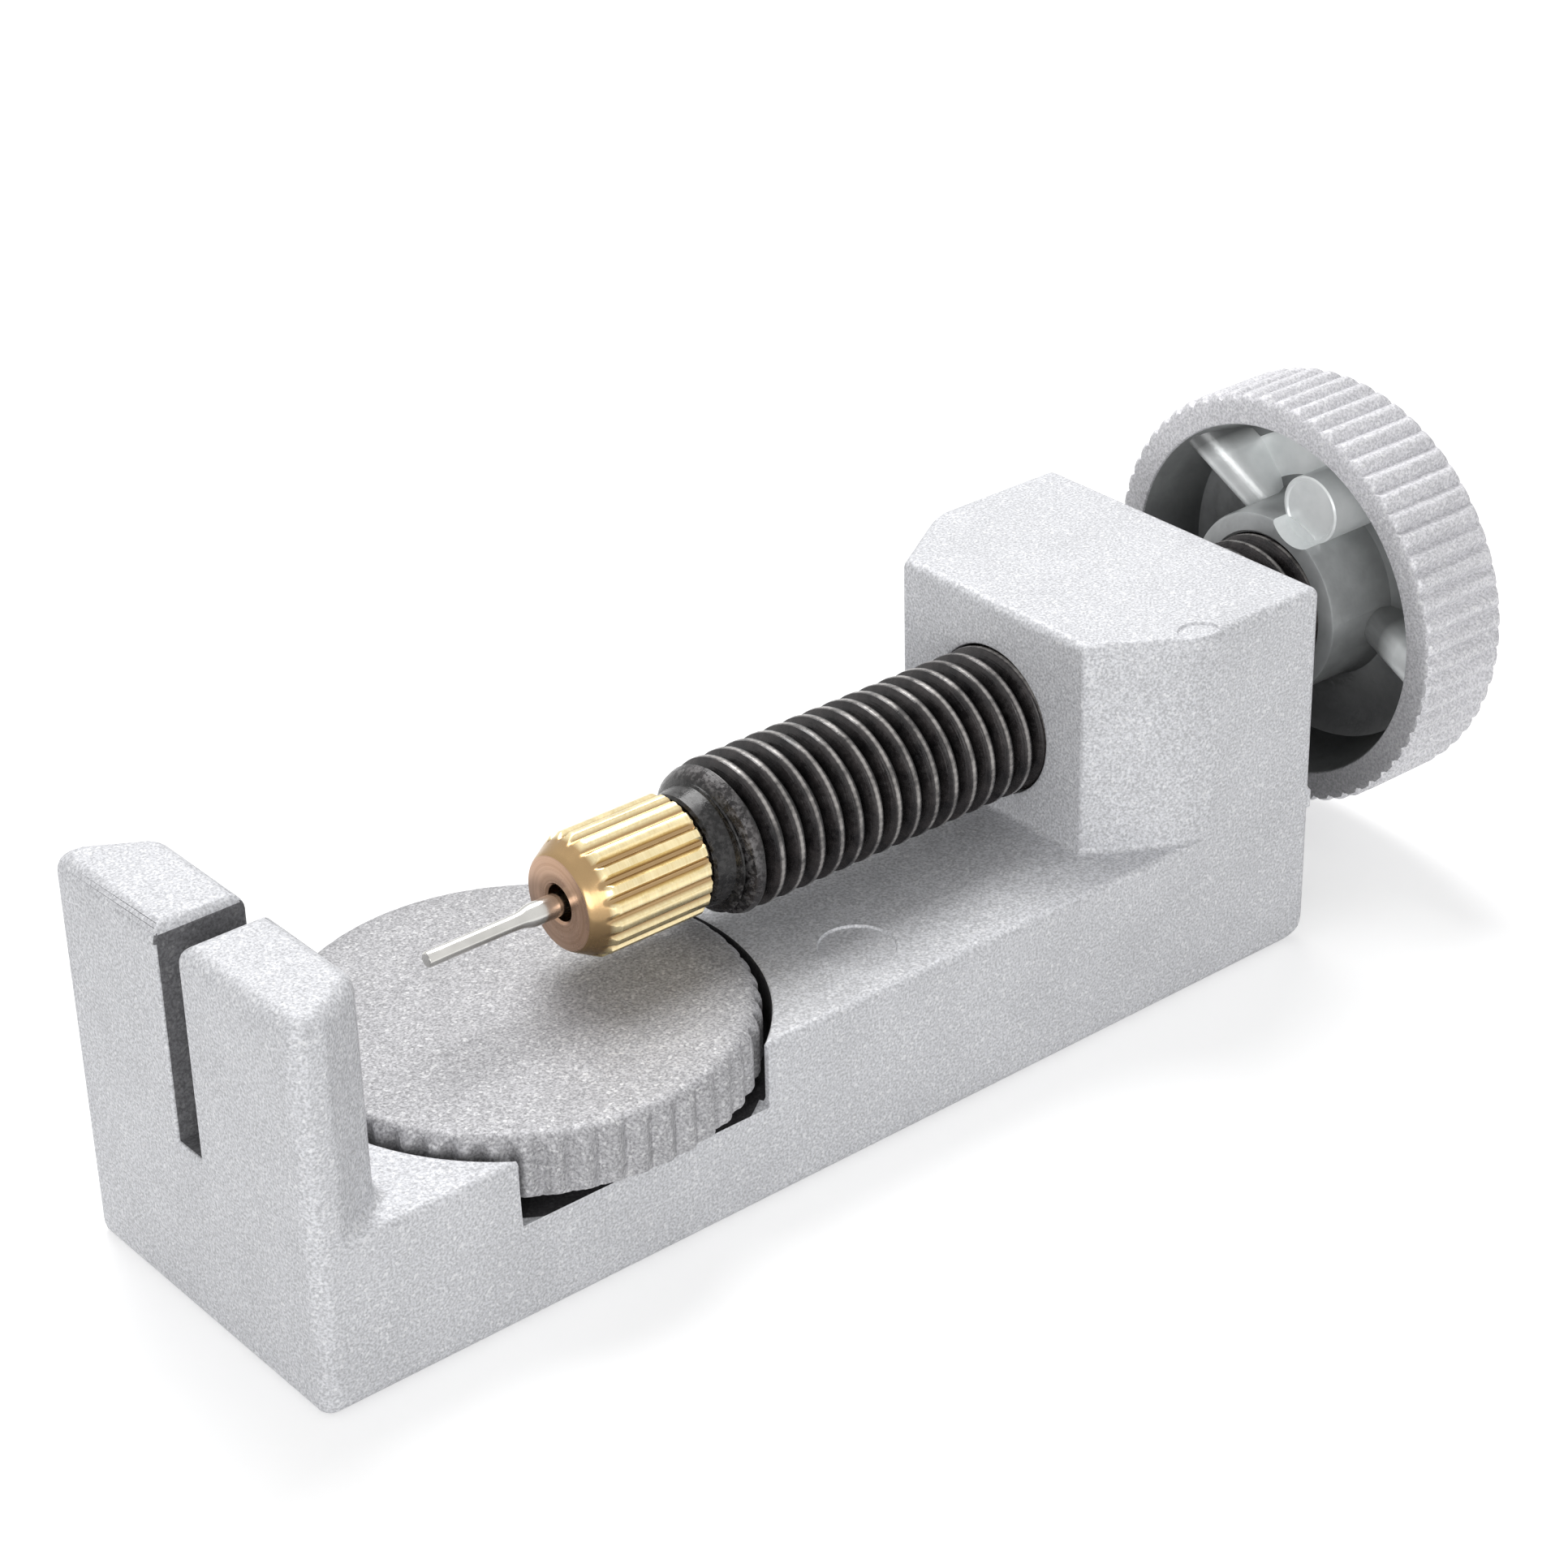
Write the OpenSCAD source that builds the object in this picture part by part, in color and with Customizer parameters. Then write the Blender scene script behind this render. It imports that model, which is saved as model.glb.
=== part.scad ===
// Bench tool that pushes the pins out of watch bracelet links.
// Lengths are in millimetres. X runs from the slotted post to the knob, and Z is up.
// Modules count X from the post's front face, and framed() then centres the part.

/* [Body casting] */
// Length from the post's front face to the block's rear face
body_l = 62.5; // [58:0.5:76]
// Width across the two long sides
body_w = 20; // [18:0.5:24]
// Height of the deck above the bottom face
deck_h = 9; // [8.6:0.1:11]
// Rounding of the post's upper edges and of the front upright corners
edge_r = 0.9; // [0.4:0.1:1.4]
// Rounding along the two lower side edges
foot_r = 1.4; // [0.5:0.1:2.5]
// Rounding of the lower rear edge
heel_r = 2.2; // [0.8:0.1:4]
// Rounding of the two rear upright corners
rear_corner_r = 0.5; // [0.3:0.1:2]
// Metal left above the screw hole
roof_t = 2.7; // [2:0.1:6]

/* [Slotted post] */
// Thickness along the body
post_t = 4.8; // [3.8:0.1:5.6]
// Length of the full-width part of its sides
post_cheek_l = 1.6; // [1.2:0.1:2.4]
// Width of the face that the bracelet bears on
post_back_w = 16; // [12:0.2:18]
// Rounding of the two upright corners beside that face
post_back_r = 1.5; // [0.6:0.1:1.8]
// Width of the slot that takes the pushed-out pin
slot_w = 2; // [1.4:0.1:3]
// Height of the slot's floor above the deck
slot_floor_rise = 0.5; // [0.2:0.1:3]
// Rounding at the slot's upper mouth
slot_mouth_r = 0.7; // [0.3:0.1:1.2]

/* [Screw block] */
// Length along the screw
block_l = 13.65; // [10:0.05:18]
// Width of the face towards the disc
block_face_w = 13.6; // [11:0.2:17]
// Length over which the flanks spread to the full width
flank_l = 5.1; // [3:0.1:7]
// Rounding of the crease between that face and each flank
crease_r = 0.5; // [0.3:0.1:0.8]
// Rounding where each flank runs into the block's side
flank_r = 5.5; // [2:0.5:6]
// Rounding of the block's upper edges
block_edge_r = 0.5; // [0.3:0.1:1.2]

/* [Height disc] */
// Distance from the post's front face to the disc's axis
disc_x = 18.3; // [18:0.1:20]
// Diameter over the ribs
disc_d = 22.9; // [20:0.1:24]
// Thickness
disc_t = 3.3; // [2.6:0.1:4]
// Number of ribs round the edge
disc_ribs = 52; // [36:1:60]
// Radius of one rib's crown
disc_rib_r = 0.62; // [0.5:0.02:0.7]
// Rounding of the disc's upper edge
disc_edge_r = 0.9; // [0.4:0.1:1.2]
// Height at which the disc stands above the pocket's floor
disc_lift = 0.9; // [0.5:0.1:1.5]
// Height of the pocket's floor above the bottom face
pocket_floor_h = 5.5; // [5:0.1:6.5]
// Gap round the disc in its pocket
pocket_gap = 0.85; // [0.4:0.05:1.2]

/* [Disc stud and stop ring] */
// Thread diameter of the stud
stud_d = 6; // [5:0.5:7]
// Diameter of the spigot pressed into the disc
spigot_d = 4.8; // [3.6:0.2:4.8]
// Depth of the spigot in the disc
spigot_l = 2.1; // [1.4:0.1:2.2]
// Height of the stud's lower end above the bottom face
stud_end_h = 1; // [0.95:0.05:1.2]
// Height of the ring groove's lower wall above that end
groove_rise = 0.5; // [0.4:0.1:0.8]
// Diameter at the bottom of the ring groove
groove_d = 4.6; // [3.6:0.1:4.8]
// Thickness of the stop ring
ring_t = 0.6; // [0.4:0.1:0.8]
// Outer diameter of the stop ring
ring_d = 9; // [8:0.2:10]
// Width of the stop ring's open side
ring_mouth_w = 3; // [2:0.2:3.6]
// Diameter of the recess below the stud
recess_d = 11.6; // [11:0.2:13]
// Depth of that recess
recess_h = 3.2; // [3:0.1:3.8]

/* [Drive screw] */
// Thread diameter
screw_d = 8; // [7:0.5:9]
// Advance of the thread in one turn
screw_pitch = 1.25; // [1:0.05:1.5]
// Length from the shoulder behind the nut to the rear end
screw_l = 45.7; // [40:0.1:50]
// Diameter of the shoulder face
shoulder_d = 5.6; // [5:0.1:6.4]
// Length of the tapered lead-in behind the shoulder
lead_in_l = 2.3; // [1:0.1:3]
// Diameter of the stub that carries the nut
stub_d = 4; // [3.6:0.1:4.4]
// Length of the stub
stub_l = 3.9; // [3:0.1:4.4]
// Height between the disc's top and the underside of the screw
screw_over_disc = 0.4; // [0.35:0.05:2]

/* [Pin nut] */
// Diameter over the lands
nut_d = 6.4; // [5.8:0.1:7.6]
// Length
nut_l = 7; // [6.6:0.1:9]
// Diameter of the flat front face
nut_face_d = 4.9; // [4:0.1:5.4]
// Length of the cone behind the front face
nut_cone_l = 1.35; // [0.8:0.05:2]
// Thickness of the wall in front of the pin's head
nut_wall_t = 1.7; // [1.4:0.1:2]
// Diameter of the hole round the pin
nut_hole_d = 1.9; // [1.6:0.1:2.4]
// Number of grooves round the nut
nut_grooves = 20; // [14:1:24]
// Depth of one groove
nut_groove_depth = 0.3; // [0.1:0.02:0.3]
// Radius of the cutter that shapes one groove
nut_groove_r = 0.3; // [0.18:0.02:0.3]

/* [Push pin] */
// Diameter of the working tip
tip_d = 0.8; // [0.6:0.05:1]
// Length of the working tip
tip_l = 5.2; // [3:0.1:7]
// Length of the taper between tip and shank
taper_l = 0.9; // [0.5:0.1:1.5]
// Diameter of the shank
shank_d = 1.2; // [1.1:0.05:1.4]
// Length of the shank in front of the nut
shank_l = 1.55; // [0.8:0.05:3]
// Length of the head trapped in the nut
head_l = 1.3; // [0.8:0.1:1.6]

/* [Knob] */
// Diameter over the ribs
knob_d = 23.4; // [20:0.2:26]
// Depth of the rim
knob_t = 5.65; // [5.2:0.05:7]
// Number of ribs round the rim
knob_ribs = 60; // [40:1:64]
// Radius of one rib's crown
knob_rib_r = 0.54; // [0.44:0.02:0.58]
// Diameter of the smooth edge of the rim's front ring
rim_face_d = 22.3; // [19:0.1:25]
// Length over which the ribs rise behind the front ring
rib_rise_l = 0.4; // [0.3:0.1:1]
// Rounding of the knob's rear edge
knob_back_r = 1.3; // [0.6:0.1:1.8]
// Diameter of the open hollow inside the rim
hollow_d = 19.9; // [17:0.1:21]
// Depth of the hollow
hollow_depth = 4.1; // [3:0.1:4.4]
// Diameter of the hub
hub_d = 10.4; // [9.6:0.1:12]
// Length by which the hub stands out of the rim
hub_proud = 0.75; // [0.3:0.05:1.5]
// Length of the screw held in the hub
hub_grip = 5.1; // [4:0.1:5.4]
// Distance from the block's rear face to the hub
knob_gap = 6.4; // [5:0.1:10]
// Diameter of one rounded spoke
spoke_d = 2.1; // [1:0.1:2.2]
// Depth of the spokes' crowns behind the rim's front, where they leave the rim
spoke_depth = 0.45; // [0.3:0.05:0.6]
// How far the crowns fall from the rim to the hub
spoke_fall = 1.7; // [0.8:0.1:2]
// Diameter of the round pad beside the hub
pad_d = 3.8; // [3:0.1:4]
// Distance from the knob's axis to the pad's centre
pad_offset = 6.4; // [6:0.1:7.2]
// Depth of the pad's face behind the hub's front
pad_depth = 1.3; // [0.6:0.05:1.6]

/* [Clearances] */
// Radial clearance between the drive screw and the block
screw_fit = 0.05; // [0.02:0.01:0.09]
// Radial clearance between the stud and the body
stud_fit = 0.05; // [0.02:0.01:0.09]
// Clearance between the ring and its groove, on every side
ring_fit = 0.05; // [0.02:0.01:0.09]
// Clearance round the pin's head, and behind it
head_fit = 0.06; // [0.03:0.01:0.09]
// Gap between pieces that are fixed together
seat_fit = 0.02; // [0.01:0.01:0.05]
// Gap between the nut and the screw's shoulder
nut_gap = 0.3; // [0.1:0.05:0.6]

/* [Hidden] */

round_fn = 96;
corner_fn = 32;
corner_steps = 4;
thread_fn = 20;
over = 1;                     // how far a cutter runs past what it cuts
foot_front_r = 0.7;
stud_tip_chamfer = 0.4;
nut_rear_chamfer = 0.15;
tip_chamfer = 0.06;
screw_rear_chamfer = 0.5;
thread_share = 0.613;         // depth of a metric thread over its pitch
thread_lead = 1.6;            // pitches by which the thread starts ahead of the shoulder, before it is cut
// Corners of the thread's profile: share of the pitch, share of the depth.
thread_profile = [[0.07, 0], [0.38, 1], [0.62, 1], [0.93, 0]];
spoke_angles = [48, 187, 298];
pad_angle = 110;

// Heights build up from the pocket's floor.
disc_z = pocket_floor_h + disc_lift;
disc_top_z = disc_z + disc_t;
screw_z = disc_top_z + screw_over_disc + screw_d / 2;
body_h = screw_z + screw_d / 2 + roof_t;
pocket_r = disc_d / 2 + pocket_gap;
block_x = body_l - block_l;
slot_z = deck_h + slot_floor_rise;

// The moving pieces are placed from the block's rear face forwards.
hub_x = body_l + knob_gap;
rim_x = hub_x + hub_proud;
total_l = rim_x + knob_t;
shoulder_x = hub_x + hub_grip - screw_l;
nut_x = shoulder_x - nut_gap - nut_l;
stub_end_x = shoulder_x - stub_l;
head_x = nut_x + nut_wall_t + head_fit;
head_r = stub_d / 2 + seat_fit - head_fit;
pin_x = nut_x - shank_l - taper_l - tip_l;

groove_z = stud_end_h + groove_rise;

module framed() {
    translate([-total_l / 2, 0, 0]) children();
}

// Turns a shape built up along Z so that it runs along X on the screw's axis.
module on_screw_axis(x) {
    translate([x, 0, screw_z]) rotate([0, 90, 0]) children();
}

// Places children around the screw's axis at an angle seen from the post, from +Y towards +Z.
module at_angle(a) {
    rotate([0, 0, a + 90]) children();
}

// Point on a circle of radius r about [cx, cy].
function on_circle(cx, cy, r, a) = [cx + r * cos(a), cy + r * sin(a)];

function unit(v) = v / norm(v);
function inward(a, b) = [-(b - a)[1], (b - a)[0]] / norm(b - a);

// Centre of the circle of radius r that rounds corner b between a and c, all counted anticlockwise.
function corner_centre(a, b, c, r) =
    let (n1 = inward(a, b), n2 = inward(b, c))
    b + (n1 + n2) * r / (1 + n1 * n2);

// Upright corner of plan radius rp whose top edge is rounded by rt.
module corner(rp, rt, h) {
    arc = [for (i = [0 : corner_steps]) on_circle(rp - rt, h - rt, rt, i * 90 / corner_steps)];
    rotate_extrude($fn = corner_fn) polygon(concat([[0, 0], [rp, 0]], arc, [[0, h]]));
}

// Prism over an anticlockwise outline, with a plan radius for each corner and one radius for its top edge.
module rounded_prism(outline, radii, top_r, z0, z1) {
    n = len(outline);
    hull() {
        for (i = [0 : n - 1]) {
            c = corner_centre(outline[(i + n - 1) % n], outline[i], outline[(i + 1) % n], radii[i]);
            translate([c[0], c[1], z0]) corner(radii[i], min(top_r, radii[i]), z1 - z0);
        }
    }
}

module slab() {
    w = body_w / 2;
    fc = edge_r;
    rc = rear_corner_r;
    intersection() {
        hull() {
            for (s = [-1, 1]) {
                translate([fc, s * (w - fc), 0]) cylinder(r = fc, h = deck_h, $fn = corner_fn);
                translate([body_l - rc, s * (w - rc), 0]) cylinder(r = rc, h = deck_h, $fn = corner_fn);
            }
        }
        rotate([90, 0, 90]) linear_extrude(body_l) foot_profile(2 * w, deck_h + over, foot_r, foot_r);
        translate([0, w, 0]) rotate([90, 0, 0]) linear_extrude(2 * w) translate([body_l / 2, 0])
            foot_profile(body_l, deck_h + over, foot_front_r, heel_r);
    }
}

// Upright rectangle, centred across, whose two lower corners are rounded.
module foot_profile(w, h, r_left, r_right) {
    difference() {
        translate([-w / 2, 0]) square([w, h]);
        lower_corner(-w / 2, r_left, 1);
        lower_corner(w / 2, r_right, -1);
    }
}

module lower_corner(x, r, side) {
    difference() {
        translate([side > 0 ? x - over : x - r, -over]) square([r + over, r + over]);
        translate([x + side * r, r]) circle(r = r, $fn = round_fn);
    }
}

module post() {
    w = body_w / 2;
    b = post_back_w / 2;
    outline = [[0, -w], [post_cheek_l, -w], [post_t, -b], [post_t, b], [post_cheek_l, w], [0, w]];
    radii = [edge_r, edge_r, post_back_r, post_back_r, edge_r, edge_r];
    rounded_prism(outline, radii, edge_r, deck_h - over, body_h);
}

module block() {
    w = body_w / 2;
    b = block_face_w / 2;
    x1 = block_x + flank_l;
    outline = [[block_x, -b], [x1, -w], [body_l, -w], [body_l, w], [x1, w], [block_x, b]];
    // The rounding of the flanks has to stay inside the block's front and rear faces.
    fr = min(flank_r, 1.2 * flank_l, 0.7 * (block_l - flank_l));
    radii = [crease_r, fr, rear_corner_r, rear_corner_r, fr, crease_r];
    rounded_prism(outline, radii, block_edge_r, deck_h - over, body_h);
}

// Slot through the post, with its mouth rolled outwards.
module post_slot() {
    r = slot_mouth_r;
    w = slot_w / 2;
    translate([-over, 0, 0]) rotate([90, 0, 90]) linear_extrude(post_t + 2 * over) {
        translate([-w, slot_z]) square([slot_w, body_h - slot_z + over]);
        difference() {
            translate([-w - r, body_h - r]) square([slot_w + 2 * r, r + over]);
            for (s = [-1, 1]) translate([s * (w + r), body_h - r]) circle(r = r, $fn = round_fn);
        }
    }
}

module body_casting() {
    color("silver") framed() difference() {
        union() {
            slab();
            post();
            block();
        }
        post_slot();
        translate([disc_x, 0, pocket_floor_h])
            cylinder(r = pocket_r, h = deck_h - pocket_floor_h + over, $fn = round_fn);
        translate([disc_x, 0, recess_h])
            cylinder(r = stud_d / 2 + stud_fit, h = pocket_floor_h - recess_h + over, $fn = round_fn);
        translate([disc_x, 0, -over]) cylinder(d = recess_d, h = recess_h + over, $fn = round_fn);
        on_screw_axis(block_x - over)
            cylinder(r = screw_d / 2 + screw_fit, h = block_l + 2 * over, $fn = round_fn);
    }
}

module stop_ring() {
    inner_d = groove_d + 2 * ring_fit;
    color("dimgray") framed() translate([disc_x, 0, groove_z + ring_fit]) difference() {
        cylinder(d = ring_d, h = ring_t, $fn = round_fn);
        translate([0, 0, -over]) cylinder(d = inner_d, h = ring_t + 2 * over, $fn = round_fn);
        translate([0, -ring_mouth_w / 2, -over]) cube([ring_d, ring_mouth_w, ring_t + 2 * over]);
    }
}

module disc_stud() {
    r = stud_d / 2;
    g = groove_d / 2;
    z1 = groove_z + ring_t + 2 * ring_fit;
    color("dimgray") framed() translate([disc_x, 0, 0]) rotate_extrude($fn = round_fn) polygon([
        [0, stud_end_h], [r - stud_tip_chamfer, stud_end_h], [r, stud_end_h + stud_tip_chamfer],
        [r, groove_z], [g, groove_z], [g, z1], [r, z1],
        [r, disc_z - seat_fit], [spigot_d / 2, disc_z - seat_fit],
        [spigot_d / 2, disc_z + spigot_l], [0, disc_z + spigot_l]
    ]);
}

// Round outline with a ring of half-round ribs; d is the diameter over their crowns.
module ribbed_outline(d, count, rib_r) {
    circle(r = d / 2 - rib_r, $fn = round_fn);
    for (i = [0 : count - 1]) rotate(i * 360 / count) translate([d / 2 - rib_r, 0]) circle(r = rib_r, $fn = corner_fn);
}

module height_disc() {
    r = disc_d / 2;
    e = disc_edge_r;
    arc = [for (i = [0 : corner_steps]) on_circle(r - e, disc_t - e, e, i * 90 / corner_steps)];
    color("lightgray") framed() translate([disc_x, 0, disc_z]) difference() {
        intersection() {
            linear_extrude(disc_t) ribbed_outline(disc_d, disc_ribs, disc_rib_r);
            rotate_extrude($fn = round_fn) polygon(concat([[0, 0], [r, 0]], arc, [[0, disc_t]]));
        }
        translate([0, 0, -over])
            cylinder(r = spigot_d / 2 + seat_fit, h = over + spigot_l + seat_fit, $fn = round_fn);
    }
}

module push_pin() {
    z1 = tip_l;
    z2 = z1 + taper_l;
    z3 = head_x - pin_x;
    z4 = z3 + head_l;
    color("gainsboro") framed() on_screw_axis(pin_x) rotate_extrude($fn = round_fn) polygon([
        [0, 0], [tip_d / 2 - tip_chamfer, 0], [tip_d / 2, tip_chamfer], [tip_d / 2, z1],
        [shank_d / 2, z2], [shank_d / 2, z3], [head_r, z3], [head_r, z4], [0, z4]
    ]);
}

module pin_nut() {
    r = nut_d / 2;
    bore_r = stub_d / 2 + seat_fit;
    color("goldenrod") framed() on_screw_axis(nut_x) difference() {
        rotate_extrude($fn = round_fn) polygon([
            [nut_hole_d / 2, 0], [nut_face_d / 2, 0], [r, nut_cone_l], [r, nut_l - nut_rear_chamfer],
            [r - nut_rear_chamfer, nut_l], [bore_r, nut_l], [bore_r, nut_wall_t], [nut_hole_d / 2, nut_wall_t]
        ]);
        for (i = [0 : nut_grooves - 1]) rotate(i * 360 / nut_grooves)
            translate([r + nut_groove_r - nut_groove_depth, 0, -over])
                cylinder(r = nut_groove_r, h = nut_l + 2 * over, $fn = corner_fn);
    }
}

// Corner of a right-hand thread about Z: k counts up the profile, turn after turn, and j round the axis.
function thread_point(crest_r, k, j) =
    let (
        corners = len(thread_profile),
        p = thread_profile[k % corners],
        r = crest_r - thread_share * screw_pitch * (1 - p[1]),
        a = j * 360 / thread_fn
    )
    [r * cos(a), r * sin(a), screw_pitch * (floor(k / corners) + p[0] + j / thread_fn)];

// Solid thread, whose two ramped ends still have to be cut off.
module thread_body(crest_r, turns) {
    corners = len(thread_profile);
    rows = corners * turns;
    last = thread_fn - 1;
    points = [for (j = [0 : last]) for (k = [0 : rows]) thread_point(crest_r, k, j)];
    low = len(points);
    high = low + 1;
    // Number of a corner; past the last column the first one follows, one turn further up.
    function at(j, k) = j > last ? k + corners : j * (rows + 1) + k;
    sides = [
        for (j = [0 : last]) for (k = [0 : (j < last ? rows : rows - corners) - 1])
            for (t = [[at(j, k + 1), at(j + 1, k + 1)], [at(j + 1, k + 1), at(j + 1, k)]]) concat(at(j, k), t)
    ];
    low_end = concat(
        [for (j = [0 : last]) [low, at(j, 0), at(j + 1, 0)]],
        [for (k = [0 : corners - 1]) [low, at(0, k + 1), at(0, k)]]
    );
    high_end = concat(
        [for (j = [0 : last - 1]) [high, at(j + 1, rows), at(j, rows)]],
        [for (k = [rows - corners : rows - 1]) [high, at(last, k), at(last, k + 1)]],
        [[high, at(0, rows), at(last, rows - corners)]]
    );
    polyhedron(
        points = concat(points, [[0, 0, 0], [0, 0, screw_pitch * (turns + 1)]]),
        faces = concat(sides, low_end, high_end),
        convexity = 10
    );
}

// Threaded from the shoulder to the knob, and plain in the nut and in the knob's hub.
module drive_screw() {
    r = screw_d / 2;
    thread_l = screw_l - hub_grip;
    thread_z = stub_l + thread_l;
    lead_slope = lead_in_l / (r - shoulder_d / 2);
    color("dimgray") framed() on_screw_axis(stub_end_x) union() {
        cylinder(d = stub_d, h = stub_l + over, $fn = round_fn);
        intersection() {
            translate([0, 0, stub_l - thread_lead * screw_pitch])
                thread_body(r - seat_fit, ceil(thread_l / screw_pitch + thread_lead) + 1);
            rotate_extrude($fn = round_fn) polygon([
                [0, stub_l], [shoulder_d / 2, stub_l], [r + over, stub_l + lead_in_l + over * lead_slope],
                [r + over, thread_z], [0, thread_z]
            ]);
        }
        rotate_extrude($fn = round_fn) polygon([
            [0, thread_z], [r, thread_z], [r, stub_l + screw_l - screw_rear_chamfer],
            [r - screw_rear_chamfer, stub_l + screw_l], [0, stub_l + screw_l]
        ]);
    }
}

// Rim and web of the knob, before the hollow is cut.
module knob_blank() {
    r = knob_d / 2;
    b = knob_back_r;
    arc = [for (i = [0 : corner_steps]) on_circle(r - b, knob_t - b, b, i * 90 / corner_steps)];
    intersection() {
        linear_extrude(knob_t) ribbed_outline(knob_d, knob_ribs, knob_rib_r);
        rotate_extrude($fn = round_fn)
            polygon(concat([[0, 0], [rim_face_d / 2, 0], [r, rib_rise_l]], arc, [[0, knob_t]]));
    }
}

// Rounded spoke whose crown falls from the rim to the hub, on a web that stands on the hollow's floor.
module spoke() {
    r = spoke_d / 2;
    z_floor = hollow_depth + seat_fit;
    x_hub = (hub_d + screw_d) / 4;
    x_rim = (hollow_d + rim_face_d) / 4;
    // At the hub the crown has to stay above the hollow's floor.
    slope = min(spoke_fall, 0.42 * hollow_depth) / ((hollow_d - hub_d) / 2);
    tilt = atan(slope);
    z_rim = spoke_depth + r / cos(tilt) - (x_rim - hollow_d / 2) * slope;
    z_hub = z_rim + (x_rim - x_hub) * slope;
    intersection() {
        union() {
            translate([x_rim, 0, z_rim]) rotate([0, tilt - 90, 0])
                cylinder(r = r, h = (x_rim - x_hub) / cos(tilt), $fn = corner_fn);
            rotate([90, 0, 0]) linear_extrude(spoke_d, center = true)
                polygon([[x_hub, z_hub], [x_rim, z_rim], [x_rim, z_floor], [x_hub, z_floor]]);
        }
        cylinder(r = x_rim, h = z_floor, $fn = round_fn);
    }
}

module knob() {
    color("silver") framed() on_screw_axis(rim_x) difference() {
        union() {
            difference() {
                knob_blank();
                translate([0, 0, -over]) cylinder(d = hollow_d, h = hollow_depth + over, $fn = round_fn);
            }
            difference() {
                translate([0, 0, -hub_proud])
                    cylinder(d = hub_d, h = hub_proud + hollow_depth + seat_fit, $fn = round_fn);
                at_angle(pad_angle) translate([pad_offset, 0, -hub_proud - over])
                    cylinder(d = pad_d, h = over + pad_depth, $fn = round_fn);
            }
            for (a = spoke_angles) at_angle(a) spoke();
            at_angle(pad_angle) translate([pad_offset, 0, pad_depth - hub_proud])
                cylinder(d = pad_d, h = hub_proud - pad_depth + hollow_depth + seat_fit, $fn = round_fn);
        }
        translate([0, 0, -hub_proud - over])
            cylinder(r = screw_d / 2 + seat_fit, h = over + hub_grip + seat_fit, $fn = round_fn);
    }
}

body_casting();
stop_ring();
disc_stud();
height_disc();
push_pin();
pin_nut();
drive_screw();
knob();
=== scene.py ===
import math

import bmesh
import bpy
from mathutils import Matrix, Vector


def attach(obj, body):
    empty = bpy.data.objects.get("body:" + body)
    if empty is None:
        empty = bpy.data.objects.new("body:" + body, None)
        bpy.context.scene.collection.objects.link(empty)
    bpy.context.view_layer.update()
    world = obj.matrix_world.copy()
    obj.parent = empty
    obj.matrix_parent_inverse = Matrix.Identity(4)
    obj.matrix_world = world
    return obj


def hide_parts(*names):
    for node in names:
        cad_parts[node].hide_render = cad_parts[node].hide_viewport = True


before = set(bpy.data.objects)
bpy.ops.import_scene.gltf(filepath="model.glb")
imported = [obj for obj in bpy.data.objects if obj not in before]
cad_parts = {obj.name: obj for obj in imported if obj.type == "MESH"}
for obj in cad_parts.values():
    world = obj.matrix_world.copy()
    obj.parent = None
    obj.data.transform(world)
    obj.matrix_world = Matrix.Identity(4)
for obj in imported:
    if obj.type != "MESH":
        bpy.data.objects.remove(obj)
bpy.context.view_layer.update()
print("frame loaded")

# Pieces are modelled in millimetres, in the frame's axes, and brought to metres when they are finished.
perMetre = 1000
screwAxisHeight = 14.1
discAxisX = -19.35

# A corner lies on a plane when it is this near to it, and corners nearer than the weld gap become one.
onPlane = 0.01
weldGap = 0.0005

# An edge or a normal runs along an axis when that part of its direction is over this.
alongAxis = 0.9

# Edges that fold by less than this are never rounded, and faces flatter than this are merged.
leastFold = math.radians(12)
flatFold = math.radians(0.5)

# Cutters reach at least this far past what they cut.
spare = 1

# How much the larger faces count in the shading of a corner.
largeFaceWeight = 60

# Radius that no ring reaches, for a stack without ribs.
farOut = 1e6

# Corners round a circle: the pocket, holes and screw, small rounds, the pin and the knob's spokes.
pocketSides = 192
holeSides = 96
smallSides = 64
pinSides = 48
spokeSides = 32


# Modelling by hand

def clearSelection():
    bpy.ops.object.select_all(action="DESELECT")


def takeHold(piece):
    clearSelection()
    piece.select_set(True)
    bpy.context.view_layer.objects.active = piece


def settle():
    # writes the place, turn and size of the piece in hand into its mesh
    bpy.ops.object.transform_apply(location=True, rotation=True, scale=True)


def startEditing(piece, kind="VERT"):
    takeHold(piece)
    bpy.ops.object.mode_set(mode="EDIT")
    bpy.ops.mesh.select_mode(type=kind)
    bpy.ops.mesh.select_all(action="DESELECT")


def stopEditing():
    bpy.ops.object.mode_set(mode="OBJECT")


def selectAll():
    bpy.ops.mesh.select_all(action="SELECT")


def pickCorners(piece, test):
    cage = bmesh.from_edit_mesh(piece.data)
    for corner in cage.verts:
        corner.select_set(bool(test(corner)))
    cage.select_flush_mode()
    bmesh.update_edit_mesh(piece.data)


def pickFaces(piece, test):
    cage = bmesh.from_edit_mesh(piece.data)
    for face in cage.faces:
        face.select_set(bool(test(face.calc_center_median(), face.normal)))
    bmesh.update_edit_mesh(piece.data)


def extrudeBy(move):
    bpy.ops.mesh.extrude_region_move(TRANSFORM_OT_translate={"value": move})


def widen(share):
    # moves the picked corners to or from the vertical axis
    bpy.ops.transform.resize(value=(share, share, 1), center_override=(0, 0, 0))


def cutLevel(height, **sides):
    # cuts the edited piece at a height; sides are the bisect's own settings
    selectAll()
    bpy.ops.mesh.bisect(plane_co=(0, 0, height), plane_no=(0, 0, 1), **sides)


def faceOutwards():
    selectAll()
    bpy.ops.mesh.normals_make_consistent(inside=False)


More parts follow.
